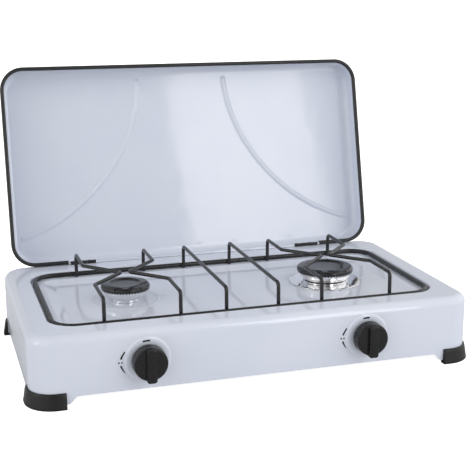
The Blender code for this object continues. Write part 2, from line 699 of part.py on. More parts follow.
def add_moving_tap_pieces(materials, side, front):
    """Plug, spring, stem and knob, all on the tap's axis."""
    stem_bore = STEM_RADIUS + STEM_CLEARANCE
    plug_back = TAP_BACK_WALL - TAP_LENGTH + FIT_GAP
    plug_front = plug_back + PLUG_LENGTH
    plug_radius = TAP_BORE - FIT_GAP
    socket_end = plug_front - 0.0090
    plug = turned(
        "plug",
        [
            (0, plug_back),
            (plug_radius, plug_back),
            (plug_radius, plug_front),
            (stem_bore, plug_front),
            (stem_bore, socket_end),
            (0, socket_end),
        ],
        18,
    )
    add_object(f"tap_plug_{side}", plug, materials["brass"], True, front, OUTWARD_FRONT)

    collar_back = -0.0012
    knob_back = TAP_FRONT_Y - KNOB_BACK_Y
    stem_back = socket_end + PUSH_TRAVEL + 0.0008
    stem = turned(
        "stem",
        [
            (0, stem_back),
            (STEM_RADIUS, stem_back),
            (STEM_RADIUS, collar_back),
            (TAP_BORE - 0.0016, collar_back),
            (TAP_BORE - 0.0016, 0),
            (STEM_RADIUS, 0),
            (STEM_RADIUS, knob_back + 0.0100),
            (STEM_RADIUS - 0.0005, knob_back + 0.0105),
            (0, knob_back + 0.0105),
        ],
        16,
    )
    add_object(f"tap_stem_{side}", stem, materials["plated_steel"], True, front, OUTWARD_FRONT)

    coil_radius = (STEM_RADIUS + TAP_BORE) / 2
    low = plug_front + FIT_GAP + SPRING_WIRE
    high = collar_back - FIT_GAP - SPRING_WIRE
    steps = 9 * SPRING_TURNS
    path = []
    for step in range(steps + 1):
        angle = CIRCLE * SPRING_TURNS * step / steps
        z = low + (high - low) * step / steps
        path.append(Vector((coil_radius * math.cos(angle), coil_radius * math.sin(angle), z)))
    spring = wire("spring", path, SPRING_WIRE, 4)
    add_object(f"stem_spring_{side}", spring, materials["plated_steel"], True, front, OUTWARD_FRONT)

    disc = turned(
        "knob",
        [
            (0, 0),
            (KNOB_RADIUS - 0.0006, 0),
            (KNOB_RADIUS, 0.0008),
            (KNOB_RADIUS - 0.0004, KNOB_DEPTH - 0.0022),
            (KNOB_RADIUS - 0.0024, KNOB_DEPTH),
            (0, KNOB_DEPTH),
        ],
    )
    knob_place = (front[0], KNOB_BACK_Y, TAP_Z)
    knob = add_object(f"knob_{side}", disc, materials["knob_plastic"], True, knob_place, OUTWARD_FRONT)
    top = KNOB_RADIUS - 0.0015
    middle = (top - GRIP_DROP) / 2
    half = (top + GRIP_DROP) / 2
    grip_loops = []
    for inset, z in ((0.0, 0.0020), (0.0, GRIP_TOP - 0.0012), (0.0012, GRIP_TOP)):
        grip_loops.append(
            rounded_rectangle(GRIP_WIDTH / 2 - inset, half - inset, 0.0026 - inset, z, middle, 3)
        )
    join(knob, add_cutter(f"grip_{side}", loft("grip", grip_loops), knob_place, OUTWARD_FRONT))
    bore = cylinder("bore", stem_bore, -0.002, 0.0115, 16)
    cut(knob, add_cutter(f"knob_bore_{side}", bore, knob_place, OUTWARD_FRONT))


# ---------------------------------------------------------------- gas supply
def add_supply(materials):
    tube_end_y = REAR_INSIDE_Y - 0.0080
    path = rounded_path(
        [
            (-MANIFOLD_END_X, MANIFOLD_Y, MANIFOLD_Z),
            (SUPPLY_X, MANIFOLD_Y, MANIFOLD_Z),
            (SUPPLY_X, tube_end_y, MANIFOLD_Z),
        ],
        SUPPLY_BEND,
        6,
    )
    mesh = pipe("manifold", path, MANIFOLD_RADIUS, MANIFOLD_WALL, 10, 0.002)
    manifold = add_object("gas_manifold", mesh, materials["plated_steel"])
    for side, burner_x in BURNERS:
        port = cylinder("port", PORT_RADIUS + 0.0017 + FIT_GAP, 0, 0.010, 16)
        place = (burner_x + TAP_OFFSET, MANIFOLD_Y, MANIFOLD_Z)
        cut(manifold, add_cutter(f"manifold_port_{side}", port, place))
    for side, bracket_x in (("left", -BRACKET_X), ("right", BRACKET_X)):
        add_bracket(materials, side, bracket_x)

    socket = MANIFOLD_RADIUS + FIT_GAP
    profile = [(socket, -0.0190), (0.0085, -0.0190), (0.0085, -FIT_GAP), (NIPPLE_THREAD, -FIT_GAP)]
    profile += [(NIPPLE_THREAD, 0.0085), (NIPPLE_BARB - 0.0012, 0.0100)]
    for barb in range(3):
        start = 0.0130 + 0.0056 * barb
        profile += [(NIPPLE_BARB - 0.0012, start), (NIPPLE_BARB, start + 0.0006)]
    profile += [(NIPPLE_BARB - 0.0014, 0.0305), (0.0025, 0.0305), (0.0025, -0.0070), (socket, -0.0070)]
    rear = (SUPPLY_X, REAR_INSIDE_Y, MANIFOLD_Z)
    nipple = turned("nipple", profile, 14)
    add_object("hose_nipple", nipple, materials["brass"], True, rear, OUTWARD_REAR)
    nut_back = SHEET + FIT_GAP
    span = (nut_back, nut_back + NUT_HEIGHT)
    add_nut("inlet_nut", NIPPLE_THREAD, span, materials["brass"], rear, OUTWARD_REAR)


def add_bracket(materials, side, bracket_x):
    front_y = WALL_INSIDE_Y + FIT_GAP
    half_z = MANIFOLD_RADIUS + 0.0040
    arm = box(
        "arm",
        (0, front_y + 0.0004, MANIFOLD_Z - half_z),
        (0.0012, MANIFOLD_Y + half_z, MANIFOLD_Z + half_z),
    )
    plated = materials["plated_steel"]
    bracket = add_object(f"manifold_bracket_{side}", arm, plated, False, (bracket_x, 0, 0))
    flange = box(
        "flange",
        (0.0004, front_y, MANIFOLD_Z - half_z - 0.0002),
        (0.0140, front_y + 0.0012, MANIFOLD_Z + half_z + 0.0002),
    )
    join(bracket, add_cutter(f"bracket_flange_{side}", flange, (bracket_x, 0, 0)))
    hole = cylinder("hole", MANIFOLD_RADIUS + 0.0004, -0.003, 0.003, 20)
    place = (bracket_x, MANIFOLD_Y, MANIFOLD_Z)
    cut(bracket, add_cutter(f"bracket_hole_{side}", hole, place, (0, math.pi / 2, 0)))


# ---------------------------------------------------------------- pan support
def add_pan_support(materials):
    black = materials["black_enamel"]
    corners = [(x, TRAY_Y + y, RING_Z) for x, y in (
        (RING_HALF_X, -RING_HALF_Y),
        (RING_HALF_X, RING_HALF_Y),
        (-RING_HALF_X, RING_HALF_Y),
        (-RING_HALF_X, -RING_HALF_Y),
    )]
    ring = wire("ring", rounded_path(corners, RING_CORNER, 5, True), RING_WIRE_RADIUS, 8, True)
    add_object("pan_ring", ring, black)
    for side, bridge_x in (("left", -BRIDGE_X), ("right", BRIDGE_X)):
        name = f"pan_wire_middle_{side}"
        add_object(name, wire(name, rounded_path(wire_corners(bridge_x), WIRE_BEND), WIRE_RADIUS), black)
    for side, burner_x in BURNERS:
        for place, direction in (("west", -1), ("east", 1)):
            leg_x = burner_x + direction * BURNER_SPREAD
            tip_x = burner_x + direction * V_TIP_GAP
            name = f"pan_wire_{side}_{place}"
            corners = wire_corners(leg_x, tip_x)
            add_object(name, wire(name, rounded_path(corners, WIRE_BEND), WIRE_RADIUS), black)


def wire_corners(leg_x, tip_x=None):
    """Corner points of one bent wire from its front foot to its rear foot, V-shaped with a tip."""
    rising = [(leg_x, -WIRE_FOOT_HALF_Y, WIRE_FOOT_Z), (leg_x, -WIRE_TOP_HALF_Y, WIRE_TOP_Z)]
    middle = []
    if tip_x is not None:
        middle = [(leg_x, -V_HALF_Y, WIRE_TOP_Z), (tip_x, 0, WIRE_TOP_Z), (leg_x, V_HALF_Y, WIRE_TOP_Z)]
    falling = [(x, -y, z) for x, y, z in reversed(rising)]
    return [(x, TRAY_Y + y, z) for x, y, z in rising + middle + falling]


# ---------------------------------------------------------------- lid and hinges
def lid_outline(inset, z):
    return rounded_rectangle(
        LID_HALF_X - inset, LID_LENGTH / 2 - inset, LID_CORNER - inset, z, -LID_REAR - LID_LENGTH / 2
    )


def lid_face(inset):
    """One face of the lid's sheet, closed position, from the rim's edge to the panel."""
    loops = [lid_outline(inset, FIT_GAP)]
    edge_z = LID_DEPTH - LID_EDGE_RADIUS
    for degrees in (0.0, 22.5, 45.0, 67.5, 90.0):
        lean = (LID_EDGE_RADIUS - inset) * (1 - math.cos(math.radians(degrees)))
        rise = (LID_EDGE_RADIUS - inset) * math.sin(math.radians(degrees))
        loops.append(lid_outline(inset + lean, edge_z + rise))
    return loops


def add_lid(materials):
    """The lid is drawn closed, with its own origin on the hinge axis, and turned to its open pose."""
    panel = pressed_sheet("lid_panel", lid_face(0.0), lid_face(LID_SHEET))
    lid = add_lid_piece("lid_panel", panel, materials["white_enamel"])
    for side, hinge_x in HINGES:
        for number, shift in enumerate((-LID_RIVET_X, LID_RIVET_X)):
            hole = cylinder("rivet_hole", RIVET_SHANK + FIT_GAP, -0.004, 0.004, 12)
            tool = add_cutter(f"lid_rivet_hole_{side}_{number}", hole)
            place_on_lid(tool, (hinge_x + shift, 0, LID_RIVET_Z), (-math.pi / 2, 0, 0))
            cut(lid, tool)
        half_x = HINGE_WIDTH / 2 + 0.0012
        notch_top = KNUCKLE_RADIUS + 0.0005
        notch = box("notch", (-half_x, -0.003, -0.002), (half_x, 0.003, notch_top))
        tool = add_cutter(f"lid_notch_{side}", notch)
        place_on_lid(tool, (hinge_x, 0, 0), (0, 0, 0))
        cut(lid, tool)

    middle = -LID_REAR - LID_SHEET / 2
    half_x = LID_HALF_X - LID_SHEET / 2
    corner = LID_CORNER - LID_SHEET / 2
    front_y = middle - LID_LENGTH + LID_SHEET
    arc_x = half_x - corner
    path = [(Vector((-TRIM_END_X, middle, 0)), Vector((0, 1, 0)))]
    path += plan_arc(-arc_x, middle - corner, corner, 90, 180)
    path += plan_arc(-arc_x, front_y + corner, corner, 180, 270)
    path += plan_arc(arc_x, front_y + corner, corner, 270, 360)
    path += plan_arc(arc_x, middle - corner, corner, 0, 90)
    path += [(Vector((TRIM_END_X, middle, 0)), Vector((0, 1, 0)))]
    slot = LID_SHEET / 2 + FIT_GAP
    section = [(-TRIM_RADIUS, TRIM_LEG)] + arc((0, 0), TRIM_RADIUS, 180, 360, 4)
    section += [(TRIM_RADIUS, TRIM_LEG), (slot, TRIM_LEG), (slot, 0), (-slot, 0), (-slot, TRIM_LEG)]
    add_lid_piece("lid_edge_trim", plan_sweep("trim", path, section), materials["trim_rubber"])


def add_lid_piece(name, mesh, material, smooth=True):
    obj = add_object(name, mesh, material, smooth, (0, HINGE_Y, HINGE_Z))
    obj.rotation_euler = (-math.radians(LID_OPEN_ANGLE), 0, 0)
    return obj


def place_on_lid(obj, place, turn):
    """Moves a cutter or a small piece from the closed lid's frame to the open lid."""
    opened = Matrix.Rotation(-math.radians(LID_OPEN_ANGLE), 4, "X")
    hinge = Matrix.Translation(Vector((0, HINGE_Y + BODY_SHIFT, HINGE_Z)))
    turned_about_x = Matrix.Rotation(turn[0], 4, "X")
    obj.matrix_world = hinge @ opened @ Matrix.Translation(Vector(place)) @ turned_about_x


def rivet_mesh(low, high):
    """A rivet along Z whose heads clamp everything between low and high."""
    low -= FIT_GAP
    high += FIT_GAP
    return turned(
        "rivet",
        [
            (0, low - RIVET_HEAD_HEIGHT),
            (RIVET_HEAD * 0.8, low - RIVET_HEAD_HEIGHT),
            (RIVET_HEAD, low),
            (RIVET_SHANK, low),
            (RIVET_SHANK, high),
            (RIVET_HEAD, high),
            (RIVET_HEAD * 0.8, high + RIVET_HEAD_HEIGHT),
            (0, high + RIVET_HEAD_HEIGHT),
        ],
        8,
    )


def knuckle(name, shift):
    half = KNUCKLE_LENGTH / 2
    return tube(name, KNUCKLE_RADIUS, KNUCKLE_BORE, shift - half, shift + half, 10)


def add_hinge(materials, side, hinge_x):
    black = materials["black_enamel"]
    along_x = (0, math.pi / 2, 0)
    axis = (hinge_x, HINGE_Y, HINGE_Z)
    pin = cylinder("pin", PIN_RADIUS, -HINGE_WIDTH / 2 - 0.0005, HINGE_WIDTH / 2 + 0.0005, 10)
    add_object(f"hinge_pin_{side}", pin, black, True, axis, along_x)

    near = HINGE_Y - LEAF / 2
    far = HINGE_Y + LEAF / 2
    wall = REAR_INSIDE_Y - FIT_GAP
    shelf_z = BODY_RIVET_Z + 0.0070
    foot_z = BODY_RIVET_Z - 0.0050
    under_top = TOP_Z - SHEET - 0.0006
    bracket_outline = [
        (near, under_top),
        (near, shelf_z - LEAF),
        (wall - LEAF, shelf_z - LEAF),
        (wall - LEAF, foot_z),
        (wall, foot_z),
        (wall, shelf_z),
        (far, shelf_z),
        (far, under_top),
    ]
    bracket = extruded("leaf", bracket_outline, "X", -HINGE_WIDTH / 2, HINGE_WIDTH / 2)
    leaf = add_object(f"hinge_body_leaf_{side}", bracket, black, False, (hinge_x, 0, 0))
    for number, shift in enumerate(BODY_KNUCKLES):
        tab = box(
            "tab",
            (shift - KNUCKLE_LENGTH / 2 + 0.0001, near + 0.0001, under_top - 0.0010),
            (shift + KNUCKLE_LENGTH / 2 - 0.0001, far - 0.0001, HINGE_Z - KNUCKLE_BORE - 0.0003),
        )
        join(leaf, add_cutter(f"leaf_tab_{side}_{number}", tab, (hinge_x, 0, 0)))
        join(leaf, add_cutter(f"leaf_knuckle_{side}_{number}", knuckle("knuckle", shift), axis, along_x))
    hole = cylinder("hole", RIVET_SHANK + FIT_GAP, -0.004, 0.004, 12)
    wall_place = (hinge_x, wall, BODY_RIVET_Z)
    cut(leaf, add_cutter(f"leaf_hole_{side}", hole, wall_place, OUTWARD_REAR))
    rivet = rivet_mesh(-LEAF, FIT_GAP + SHEET)
    add_object(f"hinge_body_rivet_{side}", rivet, black, True, wall_place, OUTWARD_REAR)

    neck = KNUCKLE_LENGTH / 2 - 0.0002
    half = HINGE_WIDTH / 2
    neck_top = 0.0040
    leaf_top = 0.0180
    outline = [
        (-neck, KNUCKLE_BORE + 0.0003),
        (neck, KNUCKLE_BORE + 0.0003),
        (neck, neck_top),
        (half, neck_top),
        (half, leaf_top),
        (-half, leaf_top),
        (-half, neck_top),
        (-neck, neck_top),
    ]
    leaf_near = -LID_REAR + FIT_GAP
    plate = extruded("lid_leaf", outline, "Y", leaf_near, leaf_near + LEAF)
    lid_leaf = add_object(f"hinge_lid_leaf_{side}", plate, black, False)
    place_on_lid(lid_leaf, (hinge_x, 0, 0), (0, 0, 0))
    middle = add_cutter(f"lid_knuckle_{side}", knuckle("knuckle", 0.0), axis, along_x)
    join(lid_leaf, middle)
    for number, shift in enumerate((-LID_RIVET_X, LID_RIVET_X)):
        place = (hinge_x + shift, 0, LID_RIVET_Z)
        hole = cylinder("hole", RIVET_SHANK + FIT_GAP, -0.004, 0.004, 12)
        tool = add_cutter(f"lid_leaf_hole_{side}_{number}", hole)
        place_on_lid(tool, place, (-math.pi / 2, 0, 0))
        cut(lid_leaf, tool)
        mesh = rivet_mesh(-LID_REAR - LID_SHEET, leaf_near + LEAF)
        name = f"hinge_lid_rivet_{side}_{number + 1}"
        lid_rivet = add_object(name, mesh, black)
        place_on_lid(lid_rivet, place, (-math.pi / 2, 0, 0))


def main():
    clear_scene()
    materials = make_materials()
    add_body_shell(materials)
    add_feet(materials)
    for (side, burner_x), cap_radius in zip(BURNERS, (SMALL_CAP_RADIUS, LARGE_CAP_RADIUS)):
        add_burner(materials, side, burner_x, cap_radius)
        add_tap(materials, side, burner_x)
    add_trim_ring(materials)
    add_supply(materials)
    add_pan_support(materials)
    add_lid(materials)
    for side, hinge_x in HINGES:
        add_hinge(materials, side, hinge_x)


main()
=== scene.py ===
"""Looks of a two-burner camping stove with a folding lid: pressed white enamel, bent black wires,
polished burners, black knobs and feet, and a plain white studio. Units are metres."""

import json
import math

import bmesh
import bpy
from mathutils import Matrix, Vector


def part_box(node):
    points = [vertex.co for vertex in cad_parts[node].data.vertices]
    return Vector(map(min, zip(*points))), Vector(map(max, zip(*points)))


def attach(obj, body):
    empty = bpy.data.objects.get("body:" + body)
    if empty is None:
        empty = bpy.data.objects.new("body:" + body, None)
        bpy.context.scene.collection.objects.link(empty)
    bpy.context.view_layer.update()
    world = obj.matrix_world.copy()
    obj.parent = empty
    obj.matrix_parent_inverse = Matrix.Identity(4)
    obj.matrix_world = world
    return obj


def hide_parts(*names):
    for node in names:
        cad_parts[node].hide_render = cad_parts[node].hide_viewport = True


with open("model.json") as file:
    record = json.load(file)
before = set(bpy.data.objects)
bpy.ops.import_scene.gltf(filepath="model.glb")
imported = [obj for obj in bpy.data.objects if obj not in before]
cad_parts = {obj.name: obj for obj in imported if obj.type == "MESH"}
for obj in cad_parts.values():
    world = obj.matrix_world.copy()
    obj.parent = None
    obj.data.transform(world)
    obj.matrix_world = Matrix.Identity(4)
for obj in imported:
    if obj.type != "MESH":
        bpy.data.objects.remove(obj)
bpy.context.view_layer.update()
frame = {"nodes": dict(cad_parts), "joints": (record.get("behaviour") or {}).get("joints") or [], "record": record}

CIRCLE = 2 * math.pi
GAP = 0.0003
BODY_SHEET = 0.0010
LID_SHEET = 0.0008
JOINTS = {joint["name"]: joint for joint in frame["joints"]}


# ---------------------------------------------------------------- places read from the CAD frame
def middle(node):
    low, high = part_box(node)
    return (low + high) / 2


SHELL_LOW, SHELL_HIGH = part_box("body_shell")
MIDDLE_Y = (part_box("foot_front_left")[0].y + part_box("foot_rear_left")[1].y) / 2
HALF_X = SHELL_HIGH.x
HALF_Y = SHELL_HIGH.y - MIDDLE_Y
TOP_Z = SHELL_HIGH.z
SKIRT_Z = SHELL_LOW.z
FRONT_Y = MIDDLE_Y - HALF_Y
CORNER_RADIUS = 0.028
TOP_EDGE_RADIUS = 0.010
FRONT_APRON_Z = 0.0125
SIDE_APRON_Z = 0.0112
APRON_RISE = 0.010          # length of the S-shaped rise beside a foot
APRON_INSET = 0.040         # from an outer corner to the start of that rise

FACET = math.cos(math.radians(22.5))        # half width over radius of an eight-sided wire
RING_LOW, RING_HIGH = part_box("pan_ring")
RING_MIDDLE = middle("pan_ring")
RING_RADIUS = (RING_HIGH.z - RING_LOW.z) / 2 / FACET
RING_HALF_X = RING_HIGH.x - RING_RADIUS * FACET
RING_HALF_Y = (RING_HIGH.y - RING_LOW.y) / 2 - RING_RADIUS * FACET
RING_CORNER = 0.026
RING_Z = RING_MIDDLE.z
TRAY_Y = RING_MIDDLE.y
WIRE_LOW, WIRE_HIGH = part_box("pan_wire_middle_left")
WIRE_RADIUS = (WIRE_HIGH.x - WIRE_LOW.x) / 2 / FACET
WIRE_TOP_Z = WIRE_HIGH.z - WIRE_RADIUS * FACET
WIRE_BEND = 0.005
WIRE_TOP_HALF_Y = RING_HALF_Y - 0.0059
WIRE_FOOT_HALF_Y = RING_HALF_Y - RING_RADIUS - WIRE_RADIUS - GAP
WIRE_FOOT_Z = RING_Z - 0.0022
V_HALF_Y = 0.0420
V_TIP_GAP = 0.0043

RECESS_HALF_X = RING_HALF_X + RING_RADIUS + 0.0022
RECESS_HALF_Y = RING_HALF_Y + RING_RADIUS + 0.0022
RECESS_CORNER = 0.031
RECESS_EDGE = 0.0025
LEDGE_Z = RING_Z - RING_RADIUS - GAP
LEDGE_WIDTH = 0.015
SLOPE_WIDTH = 0.014
FLOOR_Z = TOP_Z - 0.0098

SIDES = ("left", "right")
BURNER_X = {side: middle(f"burner_cap_{side}").x for side in SIDES}
CAP_RADIUS = {side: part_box(f"burner_cap_{side}")[1].x - BURNER_X[side] for side in SIDES}
BOWL_TOP_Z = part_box("burner_bowl_left")[1].z
BOWL_BASE_Z = FLOOR_Z + GAP
THROAT_RADIUS = 0.011
TRIM_RING_RADIUS = (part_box("trim_ring_right")[1].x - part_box("trim_ring_right")[0].x) / 2

TAP_X = {side: JOINTS[f"knob_turn_{side}"]["pos_m"][0] for side in SIDES}
TAP_Z = JOINTS["knob_turn_left"]["pos_m"][2]
KNOB_RADIUS = 0.0190
KNOB_BACK_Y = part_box("knob_left")[1].y
KNOB_DEPTH = 0.0138
GRIP_TOP = KNOB_BACK_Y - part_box("knob_left")[0].y
GRIP_WIDTH = 0.0112
GRIP_DROP = TAP_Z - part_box("knob_left")[0].z - 0.0014
COLLAR_HEIGHT = FRONT_Y - SHELL_LOW.y

HINGE = Vector(JOINTS["lid_hinge"]["pos_m"])
LID_OPEN = math.radians(JOINTS["lid_hinge"]["range_deg"][1])
LID_TURN = Matrix.Translation(HINGE) @ Matrix.Rotation(-LID_OPEN, 4, "X")
LID_HALF_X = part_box("lid_panel")[1].x
LID_LENGTH = 2 * HALF_Y - 0.0370
LID_DEPTH = 0.031
LID_CORNER = 0.0289
LID_EDGE_RADIUS = 0.010
LID_REAR = 0.0001
HINGE_X = {side: middle(f"hinge_pin_{side}").x for side in SIDES}
HINGE_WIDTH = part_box("hinge_lid_leaf_left")[1].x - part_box("hinge_lid_leaf_left")[0].x
LEAF = 0.0008
PIN_RADIUS = 0.0011
KNUCKLE_RADIUS = 0.0021
KNUCKLE_GAP = 0.0004
KNUCKLE_LENGTH = (HINGE_WIDTH - 2 * KNUCKLE_GAP) / 3
LID_RIVET_X = 0.010
LID_RIVET_U = 0.0135
TRIM_RADIUS = 0.0019
TRIM_INSIDE = 0.0029
TRIM_LEG = 0.0024

TO_FRONT = Matrix.Rotation(math.pi / 2, 4, "X")     # turns a piece's own +Z to -Y
TO_REAR = Matrix.Rotation(-math.pi / 2, 4, "X")     # turns a piece's own +Z to +Y


def place(x, y, z, turn=Matrix.Identity(4)):
    return Matrix.Translation(Vector((x, y, z))) @ turn


# ---------------------------------------------------------------- finishes
class Finish:
    """One node material: a Principled shader whose colour, roughness and bump come from noise."""

    def __init__(self, name, roughness, metallic=0.0, ior=1.5):
        self.material = bpy.data.materials.new(name)
        self.material.use_nodes = True
        self.nodes = self.material.node_tree.nodes
        self.links = self.material.node_tree.links
        self.shader = self.nodes["Principled BSDF"]
        self.shader.inputs["Metallic"].default_value = metallic
        self.shader.inputs["Roughness"].default_value = roughness
        self.shader.inputs["IOR"].default_value = ior
        self.where = self.nodes.new("ShaderNodeTexCoord").outputs["Object"]
        self.surface_normal = None

    def noise(self, scale, detail=3.0, stretch=None):
        """Noise of that many features in a metre, drawn out along an axis by stretch."""
        source = self.where
        if stretch:
            mapping = self.nodes.new("ShaderNodeMapping")
            mapping.inputs["Scale"].default_value = stretch
            self.links.new(source, mapping.inputs["Vector"])
            source = mapping.outputs["Vector"]
        texture = self.nodes.new("ShaderNodeTexNoise")
        texture.inputs["Scale"].default_value = scale
        texture.inputs["Detail"].default_value = detail
        self.links.new(source, texture.inputs["Vector"])
        return texture.outputs["Fac"]

    def cells(self, scale, feature="F1"):
        texture = self.nodes.new("ShaderNodeTexVoronoi")
        texture.feature = feature
        texture.inputs["Scale"].default_value = scale
        self.links.new(self.where, texture.inputs["Vector"])
        return texture.outputs["Distance"]

    def spread(self, value, low, high, start=0.3, end=0.7):
        """Stretches a texture value so that start gives low and end gives high."""
        ranged = self.nodes.new("ShaderNodeMapRange")
        ranged.inputs["From Min"].default_value = start
        ranged.inputs["From Max"].default_value = end
        ranged.inputs["To Min"].default_value = low
        ranged.inputs["To Max"].default_value = high
        self.links.new(value, ranged.inputs["Value"])
        return ranged.outputs["Result"]

    def colour(self, value, first, second):
        blend = self.nodes.new("ShaderNodeMix")
        blend.data_type = "RGBA"
        blend.inputs["A"].default_value = (*first, 1.0)
        blend.inputs["B"].default_value = (*second, 1.0)
        self.links.new(self.spread(value, 0.0, 1.0), blend.inputs["Factor"])
        self.links.new(blend.outputs["Result"], self.shader.inputs["Base Color"])
        return self

    def gloss(self, value, low, high):
        self.links.new(self.spread(value, low, high), self.shader.inputs["Roughness"])
        return self

    def bump(self, value, depth, strength=1.0):
        relief = self.nodes.new("ShaderNodeBump")
        relief.inputs["Distance"].default_value = depth
        relief.inputs["Strength"].default_value = strength
        self.links.new(value, relief.inputs["Height"])
        if self.surface_normal is not None:
            self.links.new(self.surface_normal, relief.inputs["Normal"])
        self.surface_normal = relief.outputs["Normal"]
        self.links.new(self.surface_normal, self.shader.inputs["Normal"])
        return self


def noisy_finish(name, roughness, mottle, colours, sheen, gloss, grains=(), metallic=0.0, ior=1.5):
    """A finish whose colour, gloss and fine relief each follow a noise of their own."""
    finish = Finish(name, roughness, metallic, ior)
    finish.colour(finish.noise(*mottle), *colours)
    finish.gloss(finish.noise(*sheen), *gloss)
    for noise, depth in grains:
        finish.bump(finish.noise(*noise), depth)
    return finish


def grained_plastic():
    """Moulded thermoset with a fine leather grain."""
    finish = noisy_finish(
        "knob_plastic", 0.30, (900, 3), ((0.004, 0.004, 0.004), (0.010, 0.010, 0.010)),
        (400, 3), (0.22, 0.36), ior=1.38
    )
    finish.bump(finish.spread(finish.cells(1500), 0.0, 1.0, 0.0, 0.6), 0.00006)
    return finish


FINISHES = {
    # fired glass enamel on pressed steel: glossy, a little wavy, with faint orange peel
    "white_enamel": noisy_finish(
        "white_enamel", 0.07, (9, 4), ((0.66, 0.70, 0.80), (0.70, 0.735, 0.825)),
        (60, 3), (0.05, 0.11), (((14, 2), 0.00035), ((420, 2), 0.000010)), ior=1.52
    ),
    # thick dipped enamel on wire and hinges, with small pits
    "black_enamel": noisy_finish(
        "black_enamel", 0.28, (700, 3), ((0.006, 0.006, 0.006), (0.014, 0.014, 0.015)),
        (350, 3), (0.20, 0.42), (((900, 3), 0.00005),)
    ),
    "cap_enamel": noisy_finish(
        "cap_gloss_enamel", 0.14, (500, 2), ((0.010, 0.010, 0.011), (0.016, 0.016, 0.018)),
        (260, 3), (0.10, 0.22), (((800, 2), 0.00003),)
    ),
    "knob_plastic": grained_plastic(),
    "foot_plastic": noisy_finish(
        "foot_plastic", 0.42, (500, 4), ((0.005, 0.005, 0.005), (0.012, 0.012, 0.012)),
        (220, 3), (0.34, 0.52), (((1300, 3), 0.00005),), ior=1.40
    ),
    "trim_rubber": noisy_finish(
        "trim_rubber", 0.40, (300, 4), ((0.006, 0.006, 0.006), (0.013, 0.013, 0.013)),
        (500, 3), (0.32, 0.50), (((1500, 2), 0.00003),)
    ),
    # bright spun steel: fine level scratches and a trace of unevenness
    "polished_steel": noisy_finish(
        "polished_steel", 0.10, (40, 3), ((0.80, 0.80, 0.81), (0.90, 0.90, 0.91)),
        (30, 4, (1, 1, 40)), (0.06, 0.16), (((60, 3, (1, 1, 30)), 0.00004),), metallic=1.0
    ),
    "plated_steel": noisy_finish(
        "plated_steel", 0.34, (90, 4), ((0.52, 0.52, 0.50), (0.68, 0.68, 0.66)),
        (180, 4), (0.26, 0.44), (((900, 3), 0.00003),), metallic=1.0
    ),
    "brass": noisy_finish(
        "brass", 0.28, (110, 4), ((0.62, 0.43, 0.17), (0.80, 0.60, 0.29)),
        (240, 4), (0.20, 0.40), (((1100, 3), 0.00003),), metallic=1.0
    ),
}
FINISHES = {slot: finish.material for slot, finish in FINISHES.items()}
# the satin dish in the middle of a cap, greyer than the rim
CAP_DISH = noisy_finish(
    "cap_dish_enamel", 0.45, (160, 4), ((0.060, 0.062, 0.068), (0.088, 0.090, 0.098)),
    (300, 3), (0.38, 0.55), (((1500, 2), 0.00004),)
).material
# black glass print fired on the front
PRINT = noisy_finish(
    "print_enamel", 0.20, (1200, 2), ((0.008, 0.008, 0.009), (0.016, 0.016, 0.017)),
    (600, 2), (0.14, 0.26)
).material


# ---------------------------------------------------------------- mesh helpers
def finish_mesh(bm, name, recalculate=True):
    bmesh.ops.remove_doubles(bm, verts=bm.verts, dist=1e-6)
    if recalculate:
        bmesh.ops.recalc_face_normals(bm, faces=bm.faces)
    mesh = bpy.data.meshes.new(name)
    bm.to_mesh(mesh)
    bm.free()
    return mesh


def new_object(name, mesh, spot=None):
    if spot is not None:
        mesh.transform(spot)
    obj = bpy.data.objects.new(name, mesh)
    bpy.context.scene.collection.objects.link(obj)
    return obj


def baked(obj):
    """Turns an object's modifiers into its own plain mesh."""
    graph = bpy.context.evaluated_depsgraph_get()
    graph.update()
    mesh = bpy.data.meshes.new_from_object(obj.evaluated_get(graph))
    obj.modifiers.clear()
    obj.data = mesh
    return obj


def dress(obj, material, body, slot, *nodes, sharp=40):
    """Gives a finished piece its material, smooth shading, body and the nodes it replaces; the slot argument is
    not used.
    """
    if not obj.data.materials:
        obj.data.materials.append(material)
    obj.data.shade_smooth()
    obj.data.set_sharp_from_angle(angle=math.radians(sharp))
    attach(obj, body)
    if nodes:
        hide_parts(*nodes)
    return obj


def round_corners(corners, radii, steps=6, closed=False):
    """A path through corners, each inner one rounded by an arc. A radius of 0 keeps it sharp."""
    corners = [Vector(corner) for corner in corners]
    count = len(corners)
    if not isinstance(radii, (list, tuple)):
        radii = [radii] * count
    path = []
    for i, corner in enumerate(corners):
        if radii[i] == 0 or (not closed and i in (0, count - 1)):
            path.append(corner)
            continue
        back = (corners[i - 1] - corner).normalized()
        ahead = (corners[(i + 1) % count] - corner).normalized()
        half = back.angle(ahead) / 2
        reach = radii[i] / math.tan(half)
        centre = corner + (back + ahead).normalized() * radii[i] / math.sin(half)
        start = corner + back * reach - centre
        end = corner + ahead * reach - centre
        axis = start.cross(end).normalized()
        sweep = start.angle(end)
        for step in range(steps + 1):
            path.append(centre + Matrix.Rotation(sweep * step / steps, 3, axis) @ start)
    return path


def round_profile(points, radii, steps=4):
    """A closed (radius, height) outline with rounded corners."""
    corners = [(r, 0, z) for r, z in points]
    return [(p.x, p.z) for p in round_corners(corners, radii, steps, True)]


